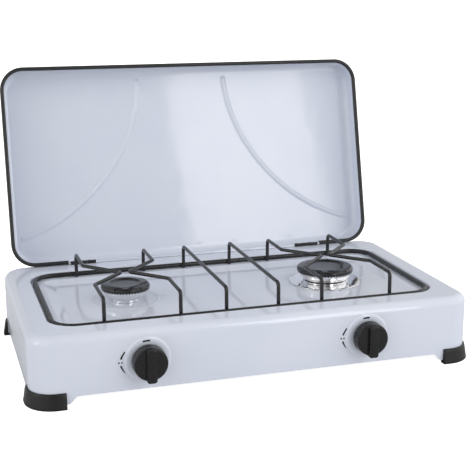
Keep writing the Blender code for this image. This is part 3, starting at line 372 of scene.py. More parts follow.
def turned(name, profile, steps=96, start=0.0):
    """Revolves a closed (radius, height) outline round Z."""
    bm = bmesh.new()
    rings = []
    for step in range(steps):
        angle = start + CIRCLE * step / steps
        c, s = math.cos(angle), math.sin(angle)
        rings.append([bm.verts.new((r * c, r * s, z)) for r, z in profile])
    for step in range(steps):
        here, there = rings[step], rings[(step + 1) % steps]
        for i in range(len(profile)):
            j = (i + 1) % len(profile)
            flat = [profile[k][0] < 1e-9 for k in (i, j)]
            if all(flat):
                continue
            if flat[0]:
                bm.faces.new((here[i], there[j], here[j]))
            elif flat[1]:
                bm.faces.new((here[i], there[i], here[j]))
            else:
                bm.faces.new((here[i], there[i], there[j], here[j]))
    return finish_mesh(bm, name)


def lofted(name, loops, closed=False):
    """Joins outlines of equal length, with flat ends unless the last one meets the first."""
    bm = bmesh.new()
    rows = [[bm.verts.new(point) for point in loop] for loop in loops]
    pairs = list(zip(rows, rows[1:]))
    if closed:
        pairs.append((rows[-1], rows[0]))
    else:
        bm.faces.new(rows[0])
        bm.faces.new(rows[-1])
    for low, high in pairs:
        for i in range(len(low)):
            j = (i + 1) % len(low)
            bm.faces.new((low[i], low[j], high[j], high[i]))
    return finish_mesh(bm, name)


def rounded_rectangle(half_x, half_y, radius, z, middle_y=0.0, corner_steps=12, long=(), short=()):
    """A closed outline, anticlockwise from above. long and short say where extra points stand
    along the straight sides, as shares of their length."""
    arcs = []
    for side_x, side_y, start in ((1, -1, -90), (1, 1, 0), (-1, 1, 90), (-1, -1, 180)):
        arc = []
        for step in range(corner_steps + 1):
            angle = math.radians(start + 90 * step / corner_steps)
            x = side_x * (half_x - radius) + radius * math.cos(angle)
            y = middle_y + side_y * (half_y - radius) + radius * math.sin(angle)
            arc.append(Vector((x, y, z)))
        arcs.append(arc)
    outline = []
    for i, arc in enumerate(arcs):
        outline += arc
        following = arcs[(i + 1) % 4][0]
        for share in (short, long, short, long)[i]:
            outline.append(arc[-1].lerp(following, share))
    return outline


def box_mesh(low, high):
    loops = []
    for z in (low[2], high[2]):
        corners = ((low[0], low[1]), (high[0], low[1]), (high[0], high[1]), (low[0], high[1]))
        loops.append([Vector((x, y, z)) for x, y in corners])
    return lofted("box", loops)


def cylinder_mesh(radius, low, high, steps=24):
    return turned("cylinder", [(0, low), (radius, low), (radius, high), (0, high)], steps)


def joined(name, meshes):
    """Several closed meshes in one object."""
    bm = bmesh.new()
    for mesh in meshes:
        bm.from_mesh(mesh)
    mesh = bpy.data.meshes.new(name)
    bm.to_mesh(mesh)
    bm.free()
    return new_object(name, mesh)


def carve(obj, cutters, operation="DIFFERENCE"):
    """Cuts closed meshes out of a piece, or joins them to it."""
    tool = joined("tool", cutters)
    modifier = obj.modifiers.new("carve", "BOOLEAN")
    modifier.operation = operation
    modifier.object = tool
    modifier.solver = "EXACT"
    baked(obj)
    bpy.data.objects.remove(tool)
    return obj


def thicken(obj, thickness):
    """Gives an open sheet its wall, on the inner side."""
    modifier = obj.modifiers.new("sheet", "SOLIDIFY")
    modifier.thickness = thickness
    modifier.offset = -1
    modifier.use_even_offset = True
    return baked(obj)


def soften(obj, width, segments=2, angle=35):
    modifier = obj.modifiers.new("edge", "BEVEL")
    modifier.width = width
    modifier.segments = segments
    modifier.limit_method = "ANGLE"
    modifier.angle_limit = math.radians(angle)
    return baked(obj)


# ---------------------------------------------------------------- geometry node trees
class Tree:
    """A geometry node tree with named inputs, used once on one object."""

    def __init__(self, name):
        self.group = bpy.data.node_groups.new(name, "GeometryNodeTree")
        self.group.interface.new_socket("Geometry", in_out="INPUT", socket_type="NodeSocketGeometry")
        self.group.interface.new_socket("Geometry", in_out="OUTPUT", socket_type="NodeSocketGeometry")
        self.nodes = self.group.nodes
        self.source = self.nodes.new("NodeGroupInput")
        self.result = self.nodes.new("NodeGroupOutput")
        self.values = {}

    def size(self, name, value, kind="NodeSocketFloat"):
        """Adds a named input and returns its output socket inside the tree."""
        socket = self.group.interface.new_socket(name, in_out="INPUT", socket_type=kind)
        self.values[socket.identifier] = value
        return self.source.outputs[name]

    def add(self, kind, **inputs):
        node = self.nodes.new(kind)
        for name, value in inputs.items():
            socket = node.inputs[name.replace("_", " ")]
            if isinstance(value, bpy.types.NodeSocket):
                self.group.links.new(value, socket)
            else:
                socket.default_value = value
        return node

    def link(self, out, into):
        self.group.links.new(out, into)

    def close(self, geometry):
        """Ends the tree in Realize Instances and Set Material."""
        material = self.size("Finish", None, "NodeSocketMaterial")
        real = self.add("GeometryNodeRealizeInstances", Geometry=geometry)
        painted = self.add("GeometryNodeSetMaterial", Geometry=real.outputs[0], Material=material)
        self.link(painted.outputs[0], self.result.inputs[0])

    def apply(self, obj, material):
        finish_socket = [i.identifier for i in self.group.interface.items_tree if i.name == "Finish"][0]
        self.values[finish_socket] = material
        modifier = obj.modifiers.new(self.group.name, "NODES")
        modifier.node_group = self.group
        for identifier, value in self.values.items():
            modifier[identifier] = value
        baked(obj)
        return obj


def line_object(name, points, closed=False):
    mesh = bpy.data.meshes.new(name)
    edges = [(i, i + 1) for i in range(len(points) - 1)]
    if closed:
        edges.append((len(points) - 1, 0))
    mesh.from_pydata([tuple(p) for p in points], edges, [])
    return new_object(name, mesh)


def bent_wire(name, points, radius, material, sides=16, closed=False):
    """A round wire along a line of points."""
    tree = Tree("bent wire")
    wire_radius = tree.size("Wire radius", radius)
    wire_sides = tree.size("Sides", sides, "NodeSocketInt")
    path = tree.add("GeometryNodeMeshToCurve", Mesh=tree.source.outputs[0])
    circle = tree.add("GeometryNodeCurvePrimitiveCircle", Resolution=wire_sides, Radius=wire_radius)
    swept = tree.add("GeometryNodeCurveToMesh", Curve=path.outputs[0], Profile_Curve=circle.outputs[0])
    swept.inputs["Fill Caps"].default_value = not closed
    tree.close(swept.outputs[0])
    return tree.apply(line_object(name, points, closed), material)


def weld_beads(name, points, radius, material):
    """A round bead of weld at each point, each of a slightly different size."""
    tree = Tree("weld beads")
    bead_radius = tree.size("Bead radius", radius)
    unevenness = tree.size("Unevenness", 0.22)
    bead = tree.add("GeometryNodeMeshUVSphere", Segments=14, Rings=8, Radius=bead_radius)
    uneven = tree.add("FunctionNodeRandomValue", Seed=5)
    uneven.data_type = "FLOAT"
    low = tree.nodes.new("ShaderNodeMath")
    low.operation = "SUBTRACT"
    low.inputs[0].default_value = 1.0
    tree.link(unevenness, low.inputs[1])
    float_min = [s for s in uneven.inputs if s.name == "Min" and s.type == "VALUE"][0]
    float_max = [s for s in uneven.inputs if s.name == "Max" and s.type == "VALUE"][0]
    tree.link(low.outputs[0], float_min)
    float_max.default_value = 1.0
    size = [s for s in uneven.outputs if s.type == "VALUE"][0]
    placed = tree.add(
        "GeometryNodeInstanceOnPoints", Points=tree.source.outputs[0], Instance=bead.outputs["Mesh"]
    )
    tree.link(size, placed.inputs["Scale"])
    tree.close(placed.outputs[0])
    return tree.apply(line_object(name, points), material)


def ring_of_wedges(name, count, radius, across, depth, height, taper, material, z, start=None):
    """Wedges standing in a ring, wide end up, added to a mesh when start holds one."""
    tree = Tree("ring of wedges")
    amount = tree.size("Count", count, "NodeSocketInt")
    ring_radius = tree.size("Ring radius", radius)
    size = tree.size("Wedge size", (depth, across, height), "NodeSocketVector")
    tip = tree.size("Tip share", taper)
    level = tree.size("Height", z)
    ring = tree.add("GeometryNodeMeshCircle", Vertices=amount, Radius=ring_radius)
    raised = tree.nodes.new("ShaderNodeCombineXYZ")
    tree.link(level, raised.inputs["Z"])
    lifted = tree.add("GeometryNodeTransform", Geometry=ring.outputs[0], Translation=raised.outputs[0])
    half = math.sqrt(0.5)
    top = tree.add("GeometryNodeMeshCone", Vertices=4, Radius_Top=half, Depth=1.0)
    narrow = tree.nodes.new("ShaderNodeMath")
    narrow.operation = "MULTIPLY"
    narrow.inputs[1].default_value = half
    tree.link(tip, narrow.inputs[0])
    tree.link(narrow.outputs[0], top.inputs["Radius Bottom"])
    squared = tree.add("GeometryNodeTransform", Geometry=top.outputs["Mesh"])
    squared.inputs["Rotation"].default_value = (0, 0, math.pi / 4)
    outward = tree.nodes.new("GeometryNodeInputPosition")
    flat = tree.nodes.new("ShaderNodeVectorMath")
    flat.operation = "MULTIPLY"
    flat.inputs[1].default_value = (1, 1, 0)
    tree.link(outward.outputs[0], flat.inputs[0])
    aim = tree.nodes.new("FunctionNodeAlignRotationToVector")
    aim.axis = "X"
    tree.link(flat.outputs[0], aim.inputs["Vector"])
    placed = tree.add(
        "GeometryNodeInstanceOnPoints", Points=lifted.outputs[0], Instance=squared.outputs[0], Scale=size
    )
    tree.link(aim.outputs[0], placed.inputs["Rotation"])
    together = tree.add("GeometryNodeJoinGeometry")
    tree.link(placed.outputs[0], together.inputs[0])
    if start is not None:
        tree.link(tree.source.outputs[0], together.inputs[0])
    tree.close(together.outputs[0])
    return tree.apply(start or line_object(name, [(0, 0, 0)]), material)


def dome_rivets(name, points, radius, rise, facing, material):
    """Low round rivet heads, each flattened along its own facing direction."""
    tree = Tree("rivet heads")
    head_radius = tree.size("Head radius", radius)
    share = tree.size("Rise share", rise / radius)
    turn = tree.size("Facing", facing, "NodeSocketVector")
    head = tree.add("GeometryNodeMeshUVSphere", Segments=20, Rings=10, Radius=head_radius)
    flattened = tree.nodes.new("ShaderNodeCombineXYZ")
    flattened.inputs["X"].default_value = 1.0
    flattened.inputs["Y"].default_value = 1.0
    tree.link(share, flattened.inputs["Z"])
    aim = tree.nodes.new("FunctionNodeAlignRotationToVector")
    aim.axis = "Z"
    tree.link(turn, aim.inputs["Vector"])
    placed = tree.add(
        "GeometryNodeInstanceOnPoints",
        Points=tree.source.outputs[0],
        Instance=head.outputs["Mesh"],
        Scale=flattened.outputs[0],
    )
    tree.link(aim.outputs[0], placed.inputs["Rotation"])
    tree.close(placed.outputs[0])
    return tree.apply(line_object(name, points), material)


# ---------------------------------------------------------------- body
EMBOSS_HEIGHT = 0.0006
EMBOSS_RING = 0.0395        # radius of the round bead pressed into the tray
EMBOSS_HALF = 0.0020
DASH_HALF = 0.0011
DASH_SPAN = (0.0440, 0.0515)
PATCH_RADIUS = 0.0560
FLOOR_MARGIN = 0.006


def hump(distance, half):
    """1 at the middle of a pressed bead, 0 at its sides and beyond."""
    return math.cos(math.pi * min(abs(distance) / half, 1.0) / 2) ** 2


def side_shares(straight, rise_start, middle_steps):
    """Where points stand along a wall: close together where its lower edge rises."""
    rises = [rise_start - APRON_RISE * step / 8 for step in range(9)]
    between = [rises[-1] * (1 - 2 * step / middle_steps) for step in range(1, middle_steps)]
    spots = rises + between + [-spot for spot in reversed(rises)]
    return [(1 - spot / straight) / 2 for spot in spots]


LONG_SHARES = side_shares(HALF_X - CORNER_RADIUS, HALF_X - APRON_INSET, 24)
SHORT_SHARES = side_shares(HALF_Y - CORNER_RADIUS, HALF_Y - APRON_INSET, 12)


def wall_loop(inset, z):
    outline = rounded_rectangle(
        HALF_X - inset, HALF_Y - inset, CORNER_RADIUS - inset, z, MIDDLE_Y, 12, LONG_SHARES, SHORT_SHARES
    )
    return outline


def recess_loop(spread, z):
    corner = max(RECESS_CORNER + spread, 0.006)
    outline = rounded_rectangle(
        RECESS_HALF_X + spread, RECESS_HALF_Y + spread, corner, z, TRAY_Y, 12, LONG_SHARES, SHORT_SHARES
    )
    return outline


def apron_height(point):
    """Height of the lower edge: low inside the feet, with an S-shaped rise beside each foot."""
    on_long_wall = abs(abs(point.y - MIDDLE_Y) - HALF_Y) < 1e-5
    along, half, top = (
        (abs(point.x), HALF_X, FRONT_APRON_Z) if on_long_wall
        else (abs(point.y - MIDDLE_Y), HALF_Y, SIDE_APRON_Z)
    )
    t = min(max((half - APRON_INSET - along) / APRON_RISE, 0.0), 1.0)
    return SKIRT_Z + (top - SKIRT_Z) * t * t * (3 - 2 * t)


def shell_rows():
    """Outlines of the sheet's outer face, from the lower edge over the rim to the tray's floor."""
    skirt = [Vector((p.x, p.y, apron_height(p))) for p in wall_loop(0.0, 0.0)]
    edge_z = TOP_Z - TOP_EDGE_RADIUS
    rows = [skirt, wall_loop(0.0, 0.0185), wall_loop(0.0, edge_z - 0.0010)]
    for step in range(11):
        angle = math.radians(9 * step)
        lean = TOP_EDGE_RADIUS * (1 - math.cos(angle))
        rows.append(wall_loop(lean, edge_z + TOP_EDGE_RADIUS * math.sin(angle)))
    rows.append(wall_loop(TOP_EDGE_RADIUS + 0.0008, TOP_Z))
    foot = -LEDGE_WIDTH - SLOPE_WIDTH
    corners = [
        (RECESS_EDGE + 0.0006, 0, TOP_Z),
        (0, 0, TOP_Z),
        (0, 0, LEDGE_Z),
        (-LEDGE_WIDTH, 0, LEDGE_Z),
        (foot, 0, FLOOR_Z),
        (foot - FLOOR_MARGIN, 0, FLOOR_Z),
    ]
    for point in round_corners(corners, [0, RECESS_EDGE, 0.0006, 0.0080, 0.0120, 0], 6):
        rows.append(recess_loop(point.x, point.z))
    return rows


def tray_relief(radius, angle, has_ring, dashes):
    height = EMBOSS_HEIGHT * hump(radius - EMBOSS_RING, EMBOSS_HALF) if has_ring else 0.0
    near, far = DASH_SPAN
    for direction in dashes:
        turn = (angle - direction + math.pi) % CIRCLE - math.pi
        beyond = max(near - radius, radius - far, 0.0)
        aside = radius * math.sin(turn) if abs(turn) < 1 else 1.0
        height = max(height, EMBOSS_HEIGHT * hump(math.hypot(aside, beyond), DASH_HALF))
    return height


def tray_patch(bm, burner_x, has_ring, dashes):
    """The pressed round area of the tray about one burner. Returns its outer ring of vertices."""
    radii = [PATCH_RADIUS] + [0.0530 - 0.0007 * step for step in range(24)]
    radii += [0.030, 0.020, THROAT_RADIUS + 0.0005]
    steps = 216
    rings = []
    for radius in radii:
        ring = []
        for step in range(steps):
            angle = CIRCLE * step / steps
            z = FLOOR_Z + tray_relief(radius, angle, has_ring, dashes)
            x = burner_x + radius * math.cos(angle)
            ring.append(bm.verts.new((x, TRAY_Y + radius * math.sin(angle), z)))
        rings.append(ring)
    for outer, inner in zip(rings, rings[1:]):
        for i in range(steps):
            j = (i + 1) % steps
            bm.faces.new((outer[i], outer[j], inner[j], inner[i]))
    return rings[0]


def ring_edges(bm, ring):
    edges = []
    for i, vertex in enumerate(ring):
        following = ring[(i + 1) % len(ring)]
        edges.append(bm.edges.get((vertex, following)) or bm.edges.new((vertex, following)))
    return edges


def hole(radius, spot, reach=0.004):
    mesh = cylinder_mesh(radius, -reach, reach)
    mesh.transform(spot)
    return mesh


def body_shell():
    bm = bmesh.new()
    rows = [[bm.verts.new(point) for point in row] for row in shell_rows()]
    for low, high in zip(rows, rows[1:]):
        for i in range(len(low)):
            j = (i + 1) % len(low)
            bm.faces.new((low[i], low[j], high[j], high[i]))
    edges = ring_edges(bm, rows[-1])
    quarter = math.pi / 2
    dashes = (0.0, quarter, 2 * quarter, 3 * quarter)
    for side in SIDES:
        edges += ring_edges(bm, tray_patch(bm, BURNER_X[side], side == "left", dashes))
    bmesh.ops.triangle_fill(bm, use_beauty=True, use_dissolve=False, edges=edges, normal=(0, 0, 1))
    bm.normal_update()
    for face in bm.faces:
        if face.normal.z < -0.2:
            face.normal_flip()
    shell = new_object("enamelled_body", finish_mesh(bm, "enamelled_body", recalculate=False))
    thicken(shell, BODY_SHEET)
    carve(shell, body_openings())
    nodes = dress(shell, FINISHES["white_enamel"], "root", "white_enamel", "body_shell")
    return nodes


def body_openings():
    holes = [hole(0.0042, place(TAP_X[side], FRONT_Y, TAP_Z, TO_FRONT)) for side in SIDES]
    nipple = middle("hose_nipple")
    holes.append(hole(0.0065, place(nipple.x, MIDDLE_Y + HALF_Y, nipple.z, TO_REAR)))
    for side in SIDES:
        rivet = middle(f"hinge_body_rivet_{side}")
        holes.append(hole(0.0015, place(rivet.x, MIDDLE_Y + HALF_Y, rivet.z, TO_REAR)))
        for shift in (-1, 1):
            spot = HINGE_X[side] + shift * (KNUCKLE_LENGTH + KNUCKLE_GAP)
            half = KNUCKLE_LENGTH / 2 + 0.0005
            slot = box_mesh((-half, -0.0009, -0.004), (half, 0.0009, 0.004))
            slot.transform(place(spot, HINGE.y, TOP_Z))
            holes.append(slot)
    return holes


def knob_collars():
    """The pressed rings round the knobs, blended into the front wall."""
    for side in SIDES:
        outer = 0.0262
        crest = 0.0238
        profile = [(outer + 0.0010, -0.0002), (outer + 0.0004, 0.00002)]
        for step in range(7):
            t = step / 6
            profile.append((outer + (crest - outer) * t, COLLAR_HEIGHT * t * t * (3 - 2 * t)))
        profile += [(0.0200, COLLAR_HEIGHT), (0.0186, COLLAR_HEIGHT * 0.72)]
        profile += [(0.0170, COLLAR_HEIGHT * 0.55), (0.0042, COLLAR_HEIGHT * 0.55), (0.0042, -0.0002)]
        mesh = turned(f"knob_collar_{side}", profile, 128)
        collar = new_object(f"knob_collar_{side}", mesh, place(TAP_X[side], FRONT_Y, TAP_Z, TO_FRONT))
        dress(collar, FINISHES["white_enamel"], "root", "white_enamel")


# ---------------------------------------------------------------- printed marks
MARK_RISE = 0.00008


def mark_mesh(centre_line, widths):
    """A flat printed stroke in (x, z), as a thin closed slab in front of the wall."""
    points = [Vector((x, z)) for x, z in centre_line]
    left, right = [], []
    for i, point in enumerate(points):
        ahead = (points[min(i + 1, len(points) - 1)] - points[max(i - 1, 0)]).normalized()
        across = Vector((-ahead.y, ahead.x)) * widths[i] / 2
        left.append(point + across)
        right.append(point - across)
    outline = left + right[::-1]
    return lofted("mark", [[Vector((p.x, p.y, z)) for p in outline] for z in (-0.0001, MARK_RISE)])


def dial_arc(start, end, start_width, end_width, steps=12):
    """A tapered stroke round the knob; start and end are (x, z) from its axis."""
    a0, r0 = math.atan2(start[1], start[0]) % CIRCLE, math.hypot(*start)
    a1, r1 = math.atan2(end[1], end[0]) % CIRCLE, math.hypot(*end)
    line, widths = [], []
    for step in range(steps + 1):
        t = step / steps
        angle, radius = a0 + (a1 - a0) * t, r0 + (r1 - r0) * t
        line.append((radius * math.cos(angle), radius * math.sin(angle)))
        widths.append(start_width + (end_width - start_width) * t)
    return mark_mesh(line, widths)


def dot_mesh(x, z, radius):
    mesh = cylinder_mesh(radius, -0.0001, MARK_RISE, 20)
    mesh.transform(Matrix.Translation(Vector((x, z, 0))))
    return mesh


def dial_marks():
    """The off mark above each knob, and the flame strokes and dots beside it."""
    for side in SIDES:
        off_mark = dial_arc((0.0026, 0.0215), (-0.0054, 0.0210), 0.0019, 0.0019)
        off_mark.transform(Matrix.Translation(Vector((0, 0, COLLAR_HEIGHT))))
        meshes = [
            off_mark,
            dial_arc((-0.0250, 0.0110), (-0.0296, 0.0030), 0.0016, 0.0022),
            dot_mesh(-0.0318, -0.0008, 0.0010),
            dot_mesh(-0.0284, -0.0008, 0.0009),
            dial_arc((-0.0298, -0.0043), (-0.0253, -0.0128), 0.0022, 0.0008),
        ]
        marks = joined(f"dial_marks_{side}", meshes)
        marks.data.transform(place(TAP_X[side], FRONT_Y, TAP_Z, TO_FRONT))
        dress(marks, PRINT, "root", "black_enamel")


# ---------------------------------------------------------------- feet
FOOT_LENGTH = 0.0375
FOOT_HEIGHT = 0.0180
FOOT_FLARE = 0.0050
FOOT_WALL = 0.0020


def feet():
    """Moulded corner shoes with softened edges."""
    inside = -BODY_SHEET - GAP
    section = [
        (FOOT_FLARE - 0.0005, 0),
        (FOOT_FLARE, 0.0005),
        (FOOT_FLARE, 0.0014),
        (FOOT_FLARE - 0.0008, 0.0045),
        (FOOT_WALL + 0.0008, FOOT_HEIGHT - 0.0045),
        (FOOT_WALL, FOOT_HEIGHT - 0.0010),
        (FOOT_WALL - 0.0006, FOOT_HEIGHT),
        (GAP, FOOT_HEIGHT),
        (GAP, SKIRT_Z - GAP),
        (inside, SKIRT_Z - GAP),
        (inside, FOOT_HEIGHT * 0.7),
        (inside - FOOT_WALL, FOOT_HEIGHT * 0.7),
        (inside - FOOT_WALL - 0.0010, 0),
    ]
    corner_x = HALF_X - CORNER_RADIUS
    corner_y = HALF_Y - CORNER_RADIUS
    path = [(Vector((HALF_X - FOOT_LENGTH, -HALF_Y, 0)), Vector((0, -1, 0)))]
    for step in range(17):
        angle = math.radians(-90 + 90 * step / 16)
        outward = Vector((math.cos(angle), math.sin(angle), 0))
        path.append((Vector((corner_x, -corner_y, 0)) + outward * CORNER_RADIUS, outward))
    path.append((Vector((HALF_X, -HALF_Y + FOOT_LENGTH, 0)), Vector((1, 0, 0))))
    for end, side_y in (("front", 1), ("rear", -1)):
        for side, side_x in (("left", -1), ("right", 1)):
            flip = Vector((side_x, side_y, 1))
            loops = []
            for point, outward in path:
                loops.append([(point + outward * o) * flip + Vector((0, MIDDLE_Y, z)) for o, z in section])
            node = f"foot_{end}_{side}"
            foot = new_object(f"corner_{node}", lofted(node, loops))
            soften(foot, 0.0005, 2, 50)
            dress(foot, FINISHES["foot_plastic"], "root", "foot_plastic", node)


# ---------------------------------------------------------------- burners
def burner_cap(side):
    """A domed cap: glossy rolled rim, satin dish, and a ring of teeth under the rim."""
    radius = CAP_RADIUS[side]
    seat = BOWL_TOP_Z + GAP
    skirt = radius - 0.0056 - GAP
    dish = radius - 0.0124
    points = [
        (0, seat + 0.0020),
        (skirt - 0.0025, seat + 0.0020),
        (skirt - 0.0025, seat - 0.0026),
        (skirt, seat - 0.0026),
        (skirt, seat),
        (radius, seat),
        (radius, seat + 0.0034),
        (radius - 0.0022, seat + 0.0056),
        (radius - 0.0102, seat + 0.0062),
        (dish, seat + 0.0043),
        (0, seat + 0.0040),
    ]
    radii = [0, 0.0004, 0.0003, 0.0003, 0.0003, 0.0005, 0.0016, 0.0022, 0.0012, 0.0012, 0]
    spot = place(BURNER_X[side], TRAY_Y, 0)
    cap = new_object(f"cap_{side}", turned("cap", round_profile(points, radii, 5), 120))
    teeth = round(CIRCLE * radius / 0.0036)
    material = FINISHES["cap_enamel"]
    ring_of_wedges(
        "teeth", teeth, radius - 0.0012, 0.0021, 0.0019, 0.0028, 0.62, material, seat - 0.0012, cap
    )
    cap.data.materials.append(CAP_DISH)
    for face in cap.data.polygons:
        away = math.hypot(face.center.x, face.center.y)
        if away < dish + 0.0002 and face.center.z > seat + 0.0030:
            face.material_index = 1
    cap.data.transform(spot)
    dress(cap, material, f"cap_{side}", "cap_enamel", f"burner_cap_{side}")


def burner_bowl(side):
    """Spun steel cup with air slots round its foot."""
    radius = CAP_RADIUS[side]
    base = radius - 0.0114
    throat_end = FLOOR_Z - 0.0071
    throat_bore = 0.0080 + GAP
    points = [
        (THROAT_RADIUS, throat_end),
        (THROAT_RADIUS, BOWL_BASE_Z),
        (base, BOWL_BASE_Z),
        (base, BOWL_BASE_Z + 0.0030),
        (radius - 0.0068, BOWL_BASE_Z + 0.0052),
        (radius - 0.0040, BOWL_BASE_Z + 0.0086),
        (radius - 0.0028, BOWL_TOP_Z),
        (radius - 0.0040, BOWL_TOP_Z),
        (radius - 0.0052, BOWL_BASE_Z + 0.0094),
        (radius - 0.0078, BOWL_BASE_Z + 0.0064),
        (base - 0.0012, BOWL_BASE_Z + 0.0044),
        (throat_bore, BOWL_BASE_Z + 0.0034),
        (throat_bore, throat_end),
    ]
    radii = [0, 0, 0, 0.0005, 0.0020, 0.0030, 0.0003, 0.0003, 0.0020, 0.0015, 0.0005, 0, 0]
    bowl = new_object(f"bowl_{side}", turned("bowl", round_profile(points, radii, 5), 120))
    slots = ring_of_wedges(
        "slots", 14, base, 0.0036, 0.0014, 0.0017, 1.0, FINISHES["polished_steel"], BOWL_BASE_Z + 0.0015
    )
    carve(bowl, [slots.data])
    bpy.data.objects.remove(slots)
    bowl.data.transform(place(BURNER_X[side], TRAY_Y, 0))
    bowl.data.materials.clear()
    dress(bowl, FINISHES["polished_steel"], "root", "polished_steel", f"burner_bowl_{side}")


def trim_ring():
    inner = CAP_RADIUS["right"] - 0.0114 + 0.0005
    outer = TRIM_RING_RADIUS
    points = [
        (inner, GAP),
        (outer, GAP),
        (outer, GAP + 0.0010),
        (outer - 0.0022, GAP + 0.0015),
        (inner + 0.0052, GAP + 0.0022),
        (inner + 0.0028, GAP + 0.0030),
        (inner, GAP + 0.0030),
    ]
    radii = [0, 0.0003, 0.0004, 0.0012, 0.0020, 0.0008, 0.0003]
    mesh = turned("trim_ring", round_profile(points, radii, 5), 128)
    ring = new_object("burner_trim_ring", mesh, place(BURNER_X["right"], TRAY_Y, FLOOR_Z))
    dress(ring, FINISHES["polished_steel"], "root", "polished_steel", "trim_ring_right")


# ---------------------------------------------------------------- pan support
def wire_line(leg_x, tip_x=None):
    """Centre line of one bent wire from its front foot to its rear foot."""
    rising = [(leg_x, -WIRE_FOOT_HALF_Y, WIRE_FOOT_Z), (leg_x, -WIRE_TOP_HALF_Y, WIRE_TOP_Z)]
    crossing = []
    if tip_x is not None:
        crossing = [
            (leg_x, -V_HALF_Y, WIRE_TOP_Z),
            (tip_x, 0, WIRE_TOP_Z),
            (leg_x, V_HALF_Y, WIRE_TOP_Z),
        ]
    falling = [(x, -y, z) for x, y, z in reversed(rising)]
    corners = [(x, TRAY_Y + y, z) for x, y, z in rising + crossing + falling]
    return round_corners(corners, WIRE_BEND, 8)


def pan_support():
    black = FINISHES["black_enamel"]
    corners = [(x * RING_HALF_X, TRAY_Y + y * RING_HALF_Y, RING_Z) for x, y in (
        (1, -1), (1, 1), (-1, 1), (-1, -1)
    )]
    ring_line = round_corners(corners, RING_CORNER, 12, True)
    ring = bent_wire("support_ring", ring_line, RING_RADIUS, black, 16, True)
    dress(ring, black, "pan_support", "black_enamel", "pan_ring")
    legs = []
    for side in SIDES:
        node = f"pan_wire_middle_{side}"
        legs.append((f"bridge_wire_{side}", node, middle(node).x, None))
        for end, direction in (("west", -1), ("east", 1)):
            node = f"pan_wire_{side}_{end}"
            low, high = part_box(node)
            leg_x = low.x + WIRE_RADIUS * FACET if direction < 0 else high.x - WIRE_RADIUS * FACET
            legs.append((f"v_wire_{side}_{end}", node, leg_x, BURNER_X[side] + direction * V_TIP_GAP))
    beads = []
    for name, node, leg_x, tip_x in legs:
        wire = bent_wire(name, wire_line(leg_x, tip_x), WIRE_RADIUS, black)
        dress(wire, black, "pan_support", "black_enamel", node)
        for end in (-1, 1):
            y = TRAY_Y + end * (WIRE_FOOT_HALF_Y + WIRE_RADIUS * 0.9)
            for aside in (-1, 1):
                beads.append((leg_x + aside * WIRE_RADIUS * 0.62, y, RING_Z - 0.0004))
    welds = weld_beads("support_weld_beads", beads, 0.0013, black)
    dress(welds, black, "pan_support", "black_enamel")


# ---------------------------------------------------------------- knobs
def rounded_bar(half_x, low_y, high_y, corner, low_z, high_z, edge):
    """A bar with rounded corners in plan and a rounded front edge."""
    half_y = (high_y - low_y) / 2
    centre = (high_y + low_y) / 2
    loops = [rounded_rectangle(half_x, half_y, corner, low_z, centre, 6)]
    for step in range(6):
        angle = math.radians(18 * step)
        inset = edge * (1 - math.cos(angle))
        z = high_z - edge + edge * math.sin(angle)
        loops.append(rounded_rectangle(half_x - inset, half_y - inset, corner - inset, z, centre, 6))
    return lofted("bar", loops)


def knob(side):
    points = [
        (0, 0),
        (KNOB_RADIUS - 0.0006, 0),
        (KNOB_RADIUS, 0.0008),
        (KNOB_RADIUS - 0.0004, KNOB_DEPTH - 0.0010),
        (KNOB_RADIUS - 0.0020, KNOB_DEPTH),
        (0, KNOB_DEPTH + 0.0003),
    ]
    radii = [0, 0.0003, 0.0003, 0.0009, 0.0016, 0]
    spot = place(TAP_X[side], KNOB_BACK_Y, TAP_Z, TO_FRONT)
    piece = new_object(f"control_knob_{side}", turned("knob", round_profile(points, radii, 5), 128))
    top = KNOB_RADIUS - 0.0015
    bar = rounded_bar(GRIP_WIDTH / 2, -GRIP_DROP, top, 0.0030, 0.0020, GRIP_TOP, 0.0016)
    carve(piece, [bar], "UNION")
    carve(piece, [cylinder_mesh(0.0034, -0.002, 0.0115, 24)])
    piece.data.transform(spot)
    dress(piece, FINISHES["knob_plastic"], f"knob_{side}", "knob_plastic", f"knob_{side}", sharp=50)


def stem_spring(side):
    """The return spring round a tap's stem, as a fine coil in the place of its CAD solid."""
    node = f"stem_spring_{side}"
    low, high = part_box(node)
    wire = 0.0004
    coil = (high.x - low.x) / 2 - wire
    turns = 4
    line = []
    for step in range(24 * turns + 1):
        angle = CIRCLE * step / 24
        y = low.y + wire + (high.y - low.y - 2 * wire) * step / (24 * turns)
        line.append((TAP_X[side] + coil * math.cos(angle), y, TAP_Z + coil * math.sin(angle)))
    spring = bent_wire(f"return_spring_{side}", line, wire, FINISHES["plated_steel"], 8)
    dress(spring, FINISHES["plated_steel"], f"tap_core_{side}", "plated_steel", node)


# ---------------------------------------------------------------- lid
RIB_HEIGHT = 0.0023
RIB_HALF = 0.0040
RIB_MARGIN = 0.0005
RIB_TOP_X = 0.061
RIB_TOP_U = 0.239           # from the hinge axis along the lid
RIB_SPAN_X = 0.207
RIB_SPAN_U = 0.209
RIB_POWER = 1.8
RIB_END_X = 0.229


def lid_loop(inset, v):
    half_y = LID_LENGTH / 2
    return rounded_rectangle(
        LID_HALF_X - inset, half_y - inset, LID_CORNER - inset, v, -LID_REAR - half_y, 14,
        [step / 20 for step in range(1, 20)], [step / 10 for step in range(1, 10)]
    )


